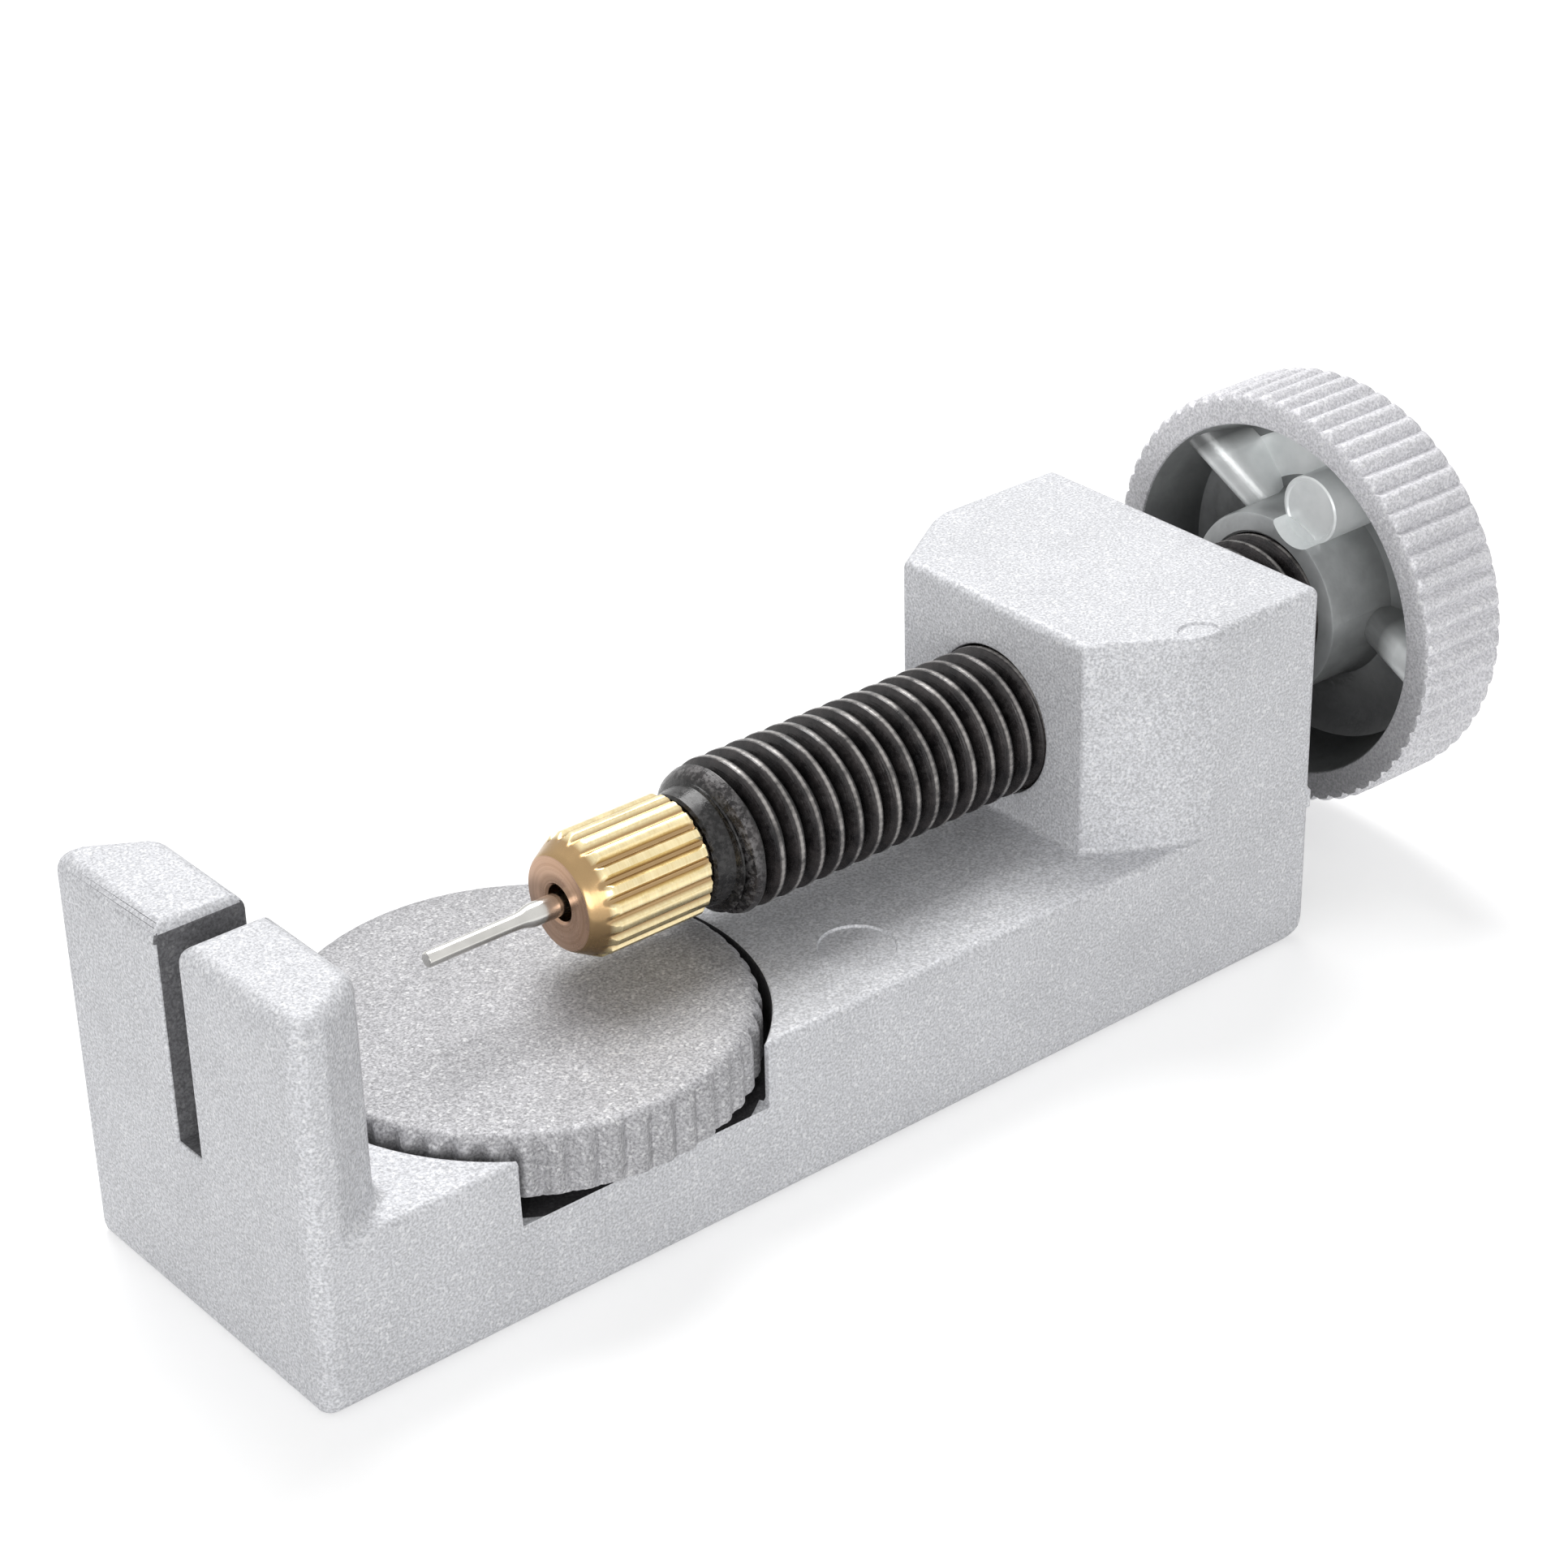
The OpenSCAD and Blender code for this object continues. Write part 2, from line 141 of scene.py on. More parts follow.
def addBlock(name, low, high):
    clearSelection()
    middle = [(a + b) / 2 for a, b in zip(low, high)]
    bpy.ops.mesh.primitive_cube_add(size=1, location=middle, scale=[b - a for a, b in zip(low, high)])
    block = bpy.context.object
    block.name = name
    settle()
    return block


def addRod(name, radius, length, start, sides, turn=(0, 0, 0)):
    clearSelection()
    bpy.ops.mesh.primitive_cylinder_add(vertices=sides, radius=radius, depth=length, location=(0, 0, 0))
    rod = bpy.context.object
    rod.name = name
    rod.data.transform(Matrix.Translation((0, 0, length / 2)))
    rod.rotation_euler = turn
    rod.location = start
    settle()
    return rod


def splitAcross(piece, x):
    startEditing(piece)
    selectAll()
    bpy.ops.mesh.bisect(plane_co=(x, 0, 0), plane_no=(1, 0, 0))
    stopEditing()


def narrowAt(piece, x, share):
    startEditing(piece)
    pickCorners(piece, lambda corner: abs(corner.co.x - x) < onPlane)
    bpy.ops.transform.resize(value=(1, share, 1), center_override=(x, 0, 0))
    stopEditing()


def applyStep(piece, step):
    takeHold(piece)
    bpy.ops.object.modifier_apply(modifier=step.name)


def combine(piece, other, how):
    step = piece.modifiers.new("combine", "BOOLEAN")
    step.operation = how
    step.solver = "MANIFOLD"
    step.object = other
    applyStep(piece, step)
    bpy.data.objects.remove(other, do_unlink=True)


def mergeFlats(piece):
    startEditing(piece)
    selectAll()
    bpy.ops.mesh.remove_doubles(threshold=2 * weldGap)
    bpy.ops.mesh.dissolve_limited(angle_limit=flatFold)
    stopEditing()


def roundEdges(piece, radiusFor, segments):
    # radiusFor gets an edge's middle, its direction and its fold, which is negative in an inner corner
    cage = bmesh.new()
    cage.from_mesh(piece.data)
    layers = cage.edges.layers.float
    weight = layers.get("bevel_weight_edge") or layers.new("bevel_weight_edge")
    reaches = {}
    for edge in cage.edges:
        edge[weight] = 0
        if len(edge.link_faces) != 2:
            continue
        fold = edge.calc_face_angle_signed()
        if abs(fold) < leastFold:
            continue
        start, end = edge.verts[0].co, edge.verts[1].co
        radius = radiusFor((start + end) / 2, (end - start).normalized(), fold)
        if radius:
            reaches[edge] = radius * math.tan(abs(fold) / 2)
    widest = max(reaches.values())
    for edge, reach in reaches.items():
        edge[weight] = reach / widest
    cage.to_mesh(piece.data)
    cage.free()
    step = piece.modifiers.new("rounding", "BEVEL")
    step.limit_method = "WEIGHT"
    step.offset_type = "OFFSET"
    step.width = widest
    step.segments = segments
    step.use_clamp_overlap = False
    applyStep(piece, step)


def shapeRibs(piece, around, was, now):
    # brings the corners of the picked ring from the radii that they had over each rib to new ones
    cage = bmesh.from_edit_mesh(piece.data)
    cage.verts.index_update()
    place = {}
    for corner in cage.verts:
        if corner.select:
            turn = round(math.atan2(corner.co.y, corner.co.x) / (2 * math.pi / around)) % around
            place[corner.index] = turn % len(was)
    for before, after in sorted(set(zip(was, now))):
        if before != after:
            pickCorners(piece, lambda corner: corner.index in place
                        and (was[place[corner.index]], now[place[corner.index]]) == (before, after))
            widen(after / before)
    pickCorners(piece, lambda corner: corner.index in place)


def stackRings(name, rings, around, ribRadii=None, endless=False):
    # rings are (height, largest radius); ribRadii are the radii of the corners over one rib
    clearSelection()
    bpy.ops.mesh.primitive_circle_add(vertices=around, radius=1, fill_type="NOTHING", location=(0, 0, 0))
    piece = bpy.context.object
    piece.name = name
    startEditing(piece)
    selectAll()
    ribRadii = ribRadii or [farOut]
    was, height = [1.0] * len(ribRadii), 0.0
    for order, (z, limit) in enumerate(rings + (rings[:1] if endless else [])):
        if order:
            extrudeBy((0, 0, z - height))
        else:
            bpy.ops.transform.translate(value=(0, 0, z))
        now = [min(radius, limit) for radius in ribRadii]
        changes = set(zip(was, now))
        if len(changes) == 1:
            before, after = changes.pop()
            widen(after / before)
        else:
            shapeRibs(piece, around, was, now)
        was, height = now, z
    if endless:
        selectAll()
        bpy.ops.mesh.remove_doubles(threshold=weldGap)
    else:
        bpy.ops.mesh.edge_face_add()
        pickCorners(piece, lambda corner: corner.index < around)
        bpy.ops.mesh.edge_face_add()
    faceOutwards()
    stopEditing()
    return piece


def quarterAngles(steps):
    # from nothing to a right angle
    return [math.radians(90 / steps * i) for i in range(steps + 1)]


def quarterRound(height, radius, size, first, last, steps):
    # rings of a rounded corner about (height, radius), from angle first to last in degrees
    angles = [math.radians(first + (last - first) * i / steps) for i in range(steps + 1)]
    return [(height + size * math.cos(a), radius + size * math.sin(a)) for a in angles]


def layOnScrewAxis(piece, start):
    takeHold(piece)
    piece.rotation_euler = (0, math.pi / 2, 0)
    piece.location = (start, 0, screwAxisHeight)
    settle()


def standOn(piece, x, y, z):
    takeHold(piece)
    piece.location = (x, y, z)
    settle()


def awayFromScrew(corner):
    return math.hypot(corner.y, corner.z - screwAxisHeight)


def giveFinish(piece, finish):
    piece.data.materials.clear()
    piece.data.materials.append(finish)


def paintFaces(piece, finish, others):
    # each of the others is a finish and a test that all the corners of its faces pass
    giveFinish(piece, finish)
    for face in piece.data.polygons:
        face.material_index = 0
    corners = piece.data.vertices
    for order, (other, test) in enumerate(others, 1):
        piece.data.materials.append(other)
        for face in piece.data.polygons:
            if all(test(corners[corner].co) for corner in face.vertices):
                face.material_index = order


def finishPiece(piece, body, node, finish=None, smoothUnder=34):
    # smoothUnder is the fold in degrees from which an edge stays sharp
    if finish:
        giveFinish(piece, finish)
    takeHold(piece)
    piece.scale = [1 / perMetre] * 3
    settle()
    bpy.ops.object.shade_smooth_by_angle(angle=math.radians(smoothUnder))
    step = piece.modifiers.new("evenShading", "WEIGHTED_NORMAL")
    step.keep_sharp = True
    step.weight = largeFaceWeight
    applyStep(piece, step)
    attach(piece, body)
    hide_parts(node)
    print(piece.name, len(piece.data.polygons), "faces")


# Finishes

def newFinish(name):
    finish = bpy.data.materials.new(name)
    finish.use_nodes = True
    return finish, finish.node_tree, finish.node_tree.nodes["Principled BSDF"]


def put(tree, kind, levels=None, **settings):
    node = tree.nodes.new(kind)
    for key, value in settings.items():
        setattr(node, key, value)
    for socket, value in (levels or {}).items():
        node.inputs[socket].default_value = value
    return node


def objectPlace(tree):
    return put(tree, "ShaderNodeTexCoord").outputs["Object"]


def partsOf(tree, place):
    parts = put(tree, "ShaderNodeSeparateXYZ")
    tree.links.new(place, parts.inputs[0])
    return parts.outputs


def noiseAt(tree, place, scale, detail=2.0, roughness=0.5):
    noise = put(tree, "ShaderNodeTexNoise", {"Scale": scale, "Detail": detail, "Roughness": roughness})
    tree.links.new(place, noise.inputs["Vector"])
    return noise.outputs["Fac"]


def spread(tree, value, fromLow, fromHigh, toLow, toHigh):
    levels = {"From Min": fromLow, "From Max": fromHigh, "To Min": toLow, "To Max": toHigh}
    node = put(tree, "ShaderNodeMapRange", levels)
    tree.links.new(value, node.inputs["Value"])
    return node.outputs["Result"]


def blendColours(tree, share, first, second, how="MIX"):
    node = put(tree, "ShaderNodeMix", data_type="RGBA", blend_type=how)
    if isinstance(share, float):
        node.inputs["Factor"].default_value = share
    else:
        tree.links.new(share, node.inputs["Factor"])
    for socket, colour in ((node.inputs[6], first), (node.inputs[7], second)):
        if isinstance(colour, tuple):
            socket.default_value = (*colour, 1)
        else:
            tree.links.new(colour, socket)
    return node.outputs[2]


def dim(tree, tone, light):
    return blendColours(tree, 1.0, tone, light, "MULTIPLY")


def multiply(tree, first, second):
    node = put(tree, "ShaderNodeMath", operation="MULTIPLY")
    tree.links.new(first, node.inputs[0])
    tree.links.new(second, node.inputs[1])
    return node.outputs[0]


def roughen(tree, shader, height, strength, depth):
    bump = put(tree, "ShaderNodeBump", {"Strength": strength, "Distance": depth})
    tree.links.new(height, bump.inputs["Height"])
    tree.links.new(bump.outputs["Normal"], shader.inputs["Normal"])


def fromScrewAxis(tree, place):
    # distance from the screw's axis, in metres
    levels = {"Location": (0, 0, -screwAxisHeight / perMetre), "Scale": (0, 1, 1)}
    shifted = put(tree, "ShaderNodeMapping", levels)
    tree.links.new(place, shifted.inputs["Vector"])
    length = put(tree, "ShaderNodeVectorMath", operation="LENGTH")
    tree.links.new(shifted.outputs["Vector"], length.inputs[0])
    return length.outputs["Value"]


def turnedPlace(tree, place):
    # along the axis and out from it, so that a pattern runs round the piece as tool marks do
    joined = put(tree, "ShaderNodeCombineXYZ")
    tree.links.new(partsOf(tree, place)["X"], joined.inputs["X"])
    tree.links.new(fromScrewAxis(tree, place), joined.inputs["Y"])
    return joined.outputs[0]


def shadeAlong(tree, place, tone, shades):
    # each shade is an axis, where it starts and ends in metres, and how much light is left at its end
    parts = partsOf(tree, place)
    for axis, start, end, left in shades:
        value = fromScrewAxis(tree, place) if axis == "out" else parts[axis]
        tone = dim(tree, tone, spread(tree, value, start, end, 1.0, left))
    return tone


# Grain, slow clouds over it and bright flakes; a coat's own settings go before these.
anyCoat = {
    "grainScale": 7600, "grainDetail": 2.5, "grainRoughness": 0.6, "grainSpan": (0.36, 0.64),
    "cloudScale": 260, "cloudSpan": (0.3, 0.7), "cloudTones": (0.955, 1.03),
    "flakeScale": 7000, "flakeSpan": (0.86, 0.98), "bumpDepth": 0.00006, "shades": [],
}


def speckledCoat(name, settings):
    s = {**anyCoat, **settings}
    finish, tree, shader = newFinish(name)
    place = objectPlace(tree)
    grain = noiseAt(tree, place, s["grainScale"], s["grainDetail"], s["grainRoughness"])
    coat = blendColours(tree, spread(tree, grain, *s["grainSpan"], 0.0, 1.0), s["dark"], s["light"])
    clouds = noiseAt(tree, place, s["cloudScale"])
    coat = dim(tree, coat, spread(tree, clouds, *s["cloudSpan"], *s["cloudTones"]))
    flakes = put(tree, "ShaderNodeTexVoronoi", {"Scale": s["flakeScale"]})
    tree.links.new(place, flakes.inputs["Vector"])
    flake = put(tree, "ShaderNodeSeparateColor")
    tree.links.new(flakes.outputs["Color"], flake.inputs[0])
    bright = spread(tree, flake.outputs["Red"], *s["flakeSpan"], 0.0, s["sparkle"])
    coat = blendColours(tree, bright, coat, s["flake"])
    gloss = spread(tree, flake.outputs["Green"], 0, 1, *s["roughness"])
    tree.links.new(shadeAlong(tree, place, coat, s["shades"]), shader.inputs["Base Color"])
    tree.links.new(gloss, shader.inputs["Roughness"])
    shader.inputs["Metallic"].default_value = s["metallic"]
    roughen(tree, shader, grain, s["bump"], s["bumpDepth"])
    return finish


castCoat = speckledCoat("castSilver", {
    "dark": (0.45, 0.453, 0.472), "light": (0.75, 0.757, 0.785), "flake": (0.92, 0.92, 0.93),
    "sparkle": 0.5, "roughness": (0.5, 0.7), "metallic": 0.2, "bump": 0.3,
})
# Painted shade: a dark coat for the slot's walls.
slotPaintedShadeCoat = speckledCoat("slotSilverPaintedShade", {
    "dark": (0.10, 0.10, 0.105), "light": (0.19, 0.19, 0.2), "flake": (0.4, 0.4, 0.4),
    "sparkle": 0.3, "roughness": (0.6, 0.8), "metallic": 0.1, "bump": 0.2,
})
# Painted shade: a near-black coat for the pocket's walls and floor.
pocketPaintedShadeCoat = speckledCoat("pocketSilverPaintedShade", {
    "dark": (0.014, 0.013, 0.015), "light": (0.04, 0.039, 0.042), "flake": (0.12, 0.12, 0.125),
    "sparkle": 0.3, "roughness": (0.6, 0.8), "metallic": 0.1, "bump": 0.2,
})
discCoat = speckledCoat("discSilver", {
    "dark": (0.26, 0.258, 0.268), "light": (0.52, 0.517, 0.535), "flake": (0.80, 0.80, 0.80),
    "flakeScale": 7200, "sparkle": 0.5, "roughness": (0.45, 0.65), "metallic": 0.25, "bump": 0.3,
})
knobSilver = {
    "dark": (0.52, 0.518, 0.54), "light": (0.82, 0.815, 0.845), "flake": (0.95, 0.95, 0.95),
    "grainScale": 7200, "flakeScale": 6800, "sparkle": 0.5,
    "roughness": (0.45, 0.65), "metallic": 0.2, "bump": 0.3,
}
knobCoat = speckledCoat("knobSilver", knobSilver)
# Painted shade: the knob's front ring is painted darker towards the bottom.
ringPaintedShadeCoat = speckledCoat("ringSilverPaintedShade", {**knobSilver, "shades": [("Z", 0.0220, 0.0040, 0.3)]})

# Bare casting metal in the knob's hollow, with soft clouds and no coat; the shades of the finishes made from
# it paint light and shade onto it.
anyZinc = {
    "scale": 420, "detail": 4.0, "grain": 0.6, "span": (0.3, 0.7), "roughness": (0.3, 0.38),
    "bump": 0.25, "bumpDepth": 0.0003,
}


def bareZinc(name, settings):
    s = {**anyZinc, **settings}
    finish, tree, shader = newFinish(name)
    place = objectPlace(tree)
    clouds = noiseAt(tree, place, s["scale"], s["detail"], s["grain"])
    tone = blendColours(tree, spread(tree, clouds, *s["span"], 0.0, 1.0), s["dark"], s["light"])
    tree.links.new(shadeAlong(tree, place, tone, s["shades"]), shader.inputs["Base Color"])
    tree.links.new(spread(tree, clouds, *s["span"], *s["roughness"]), shader.inputs["Roughness"])
    shader.inputs["Metallic"].default_value = s["metallic"]
    roughen(tree, shader, clouds, s["bump"], s["bumpDepth"])
    return finish


# Painted shade in the hollow: darker with depth, towards +Y and towards the bottom.
hollowZincPaintedShade = bareZinc("hollowZincPaintedShade", {
    "dark": (0.44, 0.455, 0.46), "light": (0.62, 0.64, 0.64), "metallic": 0.35,
    "shades": [("X", 0.0330, 0.0356, 0.5), ("Y", 0.0015, 0.0050, 0.6), ("Z", 0.0175, 0.0085, 0.2)],
})
# Painted light: the pad, the upper spoke and the floor between them are painted bright and darkened near the
# hollow's wall as painted shade. The side spoke is painted bright and darkened towards the hub as painted
# shade.
paintedLightTones = {"dark": (0.80, 0.83, 0.83), "light": (0.97, 0.99, 0.99), "metallic": 0.2}
zincPaintedLight = bareZinc("zincPaintedLight", {**paintedLightTones, "shades": [("out", 0.0083, 0.0093, 0.2)]})
sideZincPaintedLight = bareZinc("sideZincPaintedLight", {**paintedLightTones, "shades": [("Y", -0.0082, -0.0066, 0.22)]})

oxide = {
    "dark": (0.008, 0.007, 0.008), "light": (0.045, 0.039, 0.039),
    "patchScale": 900, "patchSpan": (0.34, 0.66), "streakScale": 9000, "gritScale": 3000,
    "steel": (0.38, 0.36, 0.345), "crest": (0.003982, 0.003998), "wornSpan": (0.36, 0.56), "wornLeast": 0.25,
    "rubbed": (0.26, 0.25, 0.25), "nose": (-0.0078, -0.0070), "rubSpan": (0.45, 0.62), "rubMost": 0.7,
    "flank": (0.0033, 0.0038), "rootLight": 0.2,
    "gritSpan": (0.35, 0.65), "roughness": (0.1, 0.42), "specular": 0.55, "metallic": 0.25,
    "bump": 0.7, "bumpDepth": 0.00004,
}


def makeBlackOxide():
    # oily and glossy, with fine streaks round it, worn to steel along the crests and rubbed at the nose,
    # with painted shade that darkens the flanks, the roots and the nose
    s = oxide
    finish, tree, shader = newFinish("blackOxide")
    place = objectPlace(tree)
    patches = noiseAt(tree, place, s["patchScale"], detail=4.0, roughness=0.65)
    streaks = noiseAt(tree, turnedPlace(tree, place), s["streakScale"], roughness=0.6)
    grit = noiseAt(tree, place, s["gritScale"], detail=3.0, roughness=0.7)
    distance = fromScrewAxis(tree, place)
    tone = blendColours(tree, spread(tree, patches, *s["patchSpan"], 0.0, 1.0), s["dark"], s["light"])
    crest = spread(tree, distance, *s["crest"], 0.0, 1.0)
    worn = multiply(tree, crest, spread(tree, patches, *s["wornSpan"], s["wornLeast"], 1.0))
    tone = blendColours(tree, worn, tone, s["steel"])
    nose = spread(tree, partsOf(tree, place)["X"], *s["nose"], 1.0, 0.0)
    rub = multiply(tree, nose, spread(tree, grit, *s["rubSpan"], 0.0, s["rubMost"]))
    tone = blendColours(tree, rub, tone, s["rubbed"])
    # painted shade: darker nearer the axis, on the flanks, in the roots and at the nose
    tone = dim(tree, tone, spread(tree, distance, *s["flank"], s["rootLight"], 1.0))
    tree.links.new(tone, shader.inputs["Base Color"])
    tree.links.new(spread(tree, grit, *s["gritSpan"], *s["roughness"]), shader.inputs["Roughness"])
    shader.inputs["Specular IOR Level"].default_value = s["specular"]
    shader.inputs["Metallic"].default_value = s["metallic"]
    roughen(tree, shader, multiply(tree, grit, streaks), s["bump"], s["bumpDepth"])
    return finish


# Turning marks round the piece, and stains over them.
anyMetal = {
    "stainScale": 1100, "stainDetail": 3.0, "stainTones": (0.9, 1.04), "span": (0.3, 0.7),
    "bumpDepth": 0.00002,
}


def turnedMetal(name, settings):
    # with "low" and "high", the ground between two radii fades from the groove's painted shade to the
    # metal's colour
    s = {**anyMetal, **settings}
    finish, tree, shader = newFinish(name)
    place = objectPlace(tree)
    marks = noiseAt(tree, turnedPlace(tree, place), s["markScale"], roughness=0.6)
    stains = noiseAt(tree, place, s["stainScale"], s["stainDetail"])
    tone = blendColours(tree, spread(tree, marks, *s["span"], 0.0, 1.0), s["dark"], s["light"])
    tone = dim(tree, tone, spread(tree, stains, *s["span"], *s["stainTones"]))
    if "low" in s:
        lowness = spread(tree, fromScrewAxis(tree, place), s["low"], s["high"], 1.0, 0.0)
        tone = blendColours(tree, lowness, tone, s["groove"])
    tree.links.new(tone, shader.inputs["Base Color"])
    tree.links.new(spread(tree, stains, *s["span"], *s["roughness"]), shader.inputs["Roughness"])
    shader.inputs["Metallic"].default_value = 1.0
    roughen(tree, shader, marks, s["bump"], s["bumpDepth"])
    return finish


blackOxide = makeBlackOxide()
# The nut's grooves are painted dark brown as painted shade.
brass = turnedMetal("turnedBrass", {
    "dark": (0.86, 0.70, 0.39), "light": (0.97, 0.84, 0.52), "markScale": 6000,
    "groove": (0.42, 0.28, 0.14), "low": 0.00293, "high": 0.00309,
    "roughness": (0.2, 0.32), "bump": 0.06,
})
brassFace = turnedMetal("brassFace", {
    "dark": (0.42, 0.26, 0.17), "light": (0.56, 0.37, 0.26), "markScale": 7000,
    "roughness": (0.24, 0.36), "bump": 0.12,
})
brightSteel = turnedMetal("brightSteel", {
    "dark": (0.60, 0.59, 0.56), "light": (0.68, 0.67, 0.64), "markScale": 600,
    "roughness": (0.12, 0.2), "bump": 0.0,
})
studSteel = turnedMetal("studSteel", {
    "dark": (0.20, 0.20, 0.21), "light": (0.38, 0.38, 0.39), "markScale": 5000,
    "roughness": (0.25, 0.4), "bump": 0.1,
})
print("finishes made")


# Body casting

casting = {
    "front": -37.65, "rear": 24.85, "halfWidth": 10.0, "deck": 9.0, "top": 20.8,
    "postCheek": -36.05, "postBack": -32.85, "postBackShare": 16 / 20,
    "blockFront": 11.2, "flankEnd": 16.3, "blockFaceShare": 13.6 / 20,
    "edge": 0.9, "postBackEdge": 1.5, "rearCorner": 0.5, "crease": 0.4, "flank": 5.5, "blockEdge": 0.5,
    "deckEdge": 0.4, "foot": 0.8, "frontFoot": 0.5, "heel": 2.2, "postFillet": 0.6, "blockFillet": 0.35,
    "slotHalf": 1.0, "slotFloor": 9.5, "slotMouth": 0.7, "slotLip": 0.16, "slotEnd": 0.95,
    "lipFold": 30, "alongSlot": 0.8, "levelGap": 0.004, "slotPaintTop": 0.4,
    "pocketFloor": 5.5, "pocketRadius": 12.1, "pocketRim": 0.2, "pocketFillet": (0.12, 0.4),
    "pointCut": 0.45, "notchLip": 0.1, "studHole": 3.05, "studLead": 0.3,
    "recessRadius": 5.8, "recessDepth": 3.2, "recessLip": 0.2, "bore": 4.05, "boreLip": 0.2,
    "deckMark": (-3.15, -6.0, 2.0), "blockMark": (16.65, -9.5, 1.2), "markDepth": 0.12, "markSlope": 0.08,
    "slack": 0.05, "pocketSlack": 0.06, "slotSlack": 0.12,
}


def slabEdgeRadius(middle, along, fold):
    c = casting
    if middle.z < onPlane:
        if abs(abs(middle.y) - c["halfWidth"]) < onPlane:
            return c["foot"]
        return c["frontFoot"] if middle.x < 0 else c["heel"]
    if fold < 0:
        return c["postFillet"]
    if abs(along.z) > alongAxis:
        if middle.x > c["rear"] - onPlane:
            return c["rearCorner"]
        return c["postBackEdge"] if abs(middle.x - c["postBack"]) < onPlane else c["edge"]
    if middle.z > c["top"] - onPlane:
        return c["edge"]
    return c["deckEdge"] if abs(middle.y) > c["halfWidth"] - onPlane else 0


def blockEdgeRadius(middle, along, fold):
    c = casting
    if abs(along.z) > alongAxis:
        if middle.x > c["rear"] - onPlane:
            return c["rearCorner"]
        return c["crease"] if middle.x < c["blockFront"] + onPlane else c["flank"]
    return c["blockEdge"] if middle.z > c["top"] - onPlane else 0


def sideReach():
    # half the length of the opening that the pocket leaves in each side
    c = casting
    return math.sqrt(c["pocketRadius"] ** 2 - c["halfWidth"] ** 2) + c["pointCut"]


def lipRadius(middle, along, fold):
    # the ends of the slot, and the upright edges of the side openings
    c = casting
    if fold < math.radians(c["lipFold"]):
        return 0
    nearSlot = abs(middle.y) < c["slotHalf"] + c["slotMouth"] and middle.z > c["slotFloor"] - c["slack"]
    atFront = middle.x < c["front"] + c["slotEnd"]
    atBack = c["postBack"] - c["slotEnd"] < middle.x < c["postBack"] + c["slack"]
    if nearSlot and (atFront or atBack) and abs(along.x) < c["alongSlot"]:
        return c["slotLip"]
    onSide = abs(middle.y) > c["halfWidth"] - 2 * onPlane
    atOpening = abs(abs(middle.x - discAxisX) - sideReach()) < 2 * onPlane
    if onSide and atOpening and c["pocketFloor"] < middle.z < c["deck"]:
        return c["notchLip"]
    return 0


def flareFoot(block):
    # the block's foot spreads out over the deck as a cast fillet
    c = casting
    size = c["blockFillet"]
    depth = c["rear"] - c["blockFront"]
    angles = quarterAngles(4)[:-1]
    levels = [(c["deck"] + size * (1 - math.cos(a)), size * (1 - math.sin(a))) for a in angles]
    for height in [height for height, reach in levels] + [c["deck"] + size]:
        startEditing(block)
        cutLevel(height)
        stopEditing()
    for height, reach in [(c["deck"] - spare, size)] + levels:
        startEditing(block)
        pickCorners(block, lambda corner: abs(corner.co.z - height) < c["levelGap"])
        shares = (1 + reach / depth, 1 + reach / c["halfWidth"], 1)
        bpy.ops.transform.resize(value=shares, center_override=(c["rear"], 0, height))
        stopEditing()


def makeBlock():
    c = casting
    w = c["halfWidth"]
    block = addBlock("block", (c["blockFront"], -w, c["deck"] - spare), (c["rear"], w, c["top"]))
    splitAcross(block, c["flankEnd"])
    narrowAt(block, c["blockFront"], c["blockFaceShare"])
    mergeFlats(block)
    roundEdges(block, blockEdgeRadius, 8)
    flareFoot(block)
    width = addBlock("width", (c["blockFront"] - 2 * spare, -w, 0), (c["rear"], w, c["top"] + spare))
    combine(block, width, "INTERSECT")
    return block


def cutSlot(body):
    # slot through the post, with its mouth rolled outwards
    c = casting
    half, mouth = c["slotHalf"], c["slotMouth"]
    low = (c["front"] - spare, -half, c["slotFloor"])
    slot = addBlock("slot", low, (c["postBack"] + spare, half, c["top"] - mouth))
    startEditing(slot, "FACE")
    pickFaces(slot, lambda middle, normal: normal.z > alongAxis)
    halfNow, heightNow = half, 0.0
    for a in quarterAngles(5)[1:]:
        halfNext = half + mouth * (1 - math.cos(a))
        heightNext = mouth * math.sin(a)
        extrudeBy((0, 0, heightNext - heightNow))
        bpy.ops.transform.resize(value=(1, halfNext / halfNow, 1), center_override=(0, 0, 0))
        halfNow, heightNow = halfNext, heightNext
    extrudeBy((0, 0, 2 * spare))
    stopEditing()
    combine(body, slot, "DIFFERENCE")


def cutPocket(body):
    # pocket of the disc, with a rounded rim and a small radius round its floor
    c = casting
    r, rim, floor, deck = c["pocketRadius"], c["pocketRim"], c["pocketFloor"], c["deck"]
    near, far = c["pocketFillet"]
    rings = [(floor, r - far), (floor + near, r - near), (floor + far, r)]
    rings += [(deck - rim + rim * math.sin(a), r + rim * (1 - math.cos(a))) for a in quarterAngles(6)]
    rings += [(deck + 2 * spare, r + rim)]
    pocket = stackRings("pocket", rings, pocketSides)
    standOn(pocket, discAxisX, 0, 0)
    combine(body, pocket, "DIFFERENCE")

    # the thin points beside the side openings are cut off square
    reach, w = sideReach(), c["halfWidth"] + spare
    points = addBlock("points", (discAxisX - reach, -w, floor), (discAxisX + reach, w, deck + spare))
    combine(body, points, "DIFFERENCE")


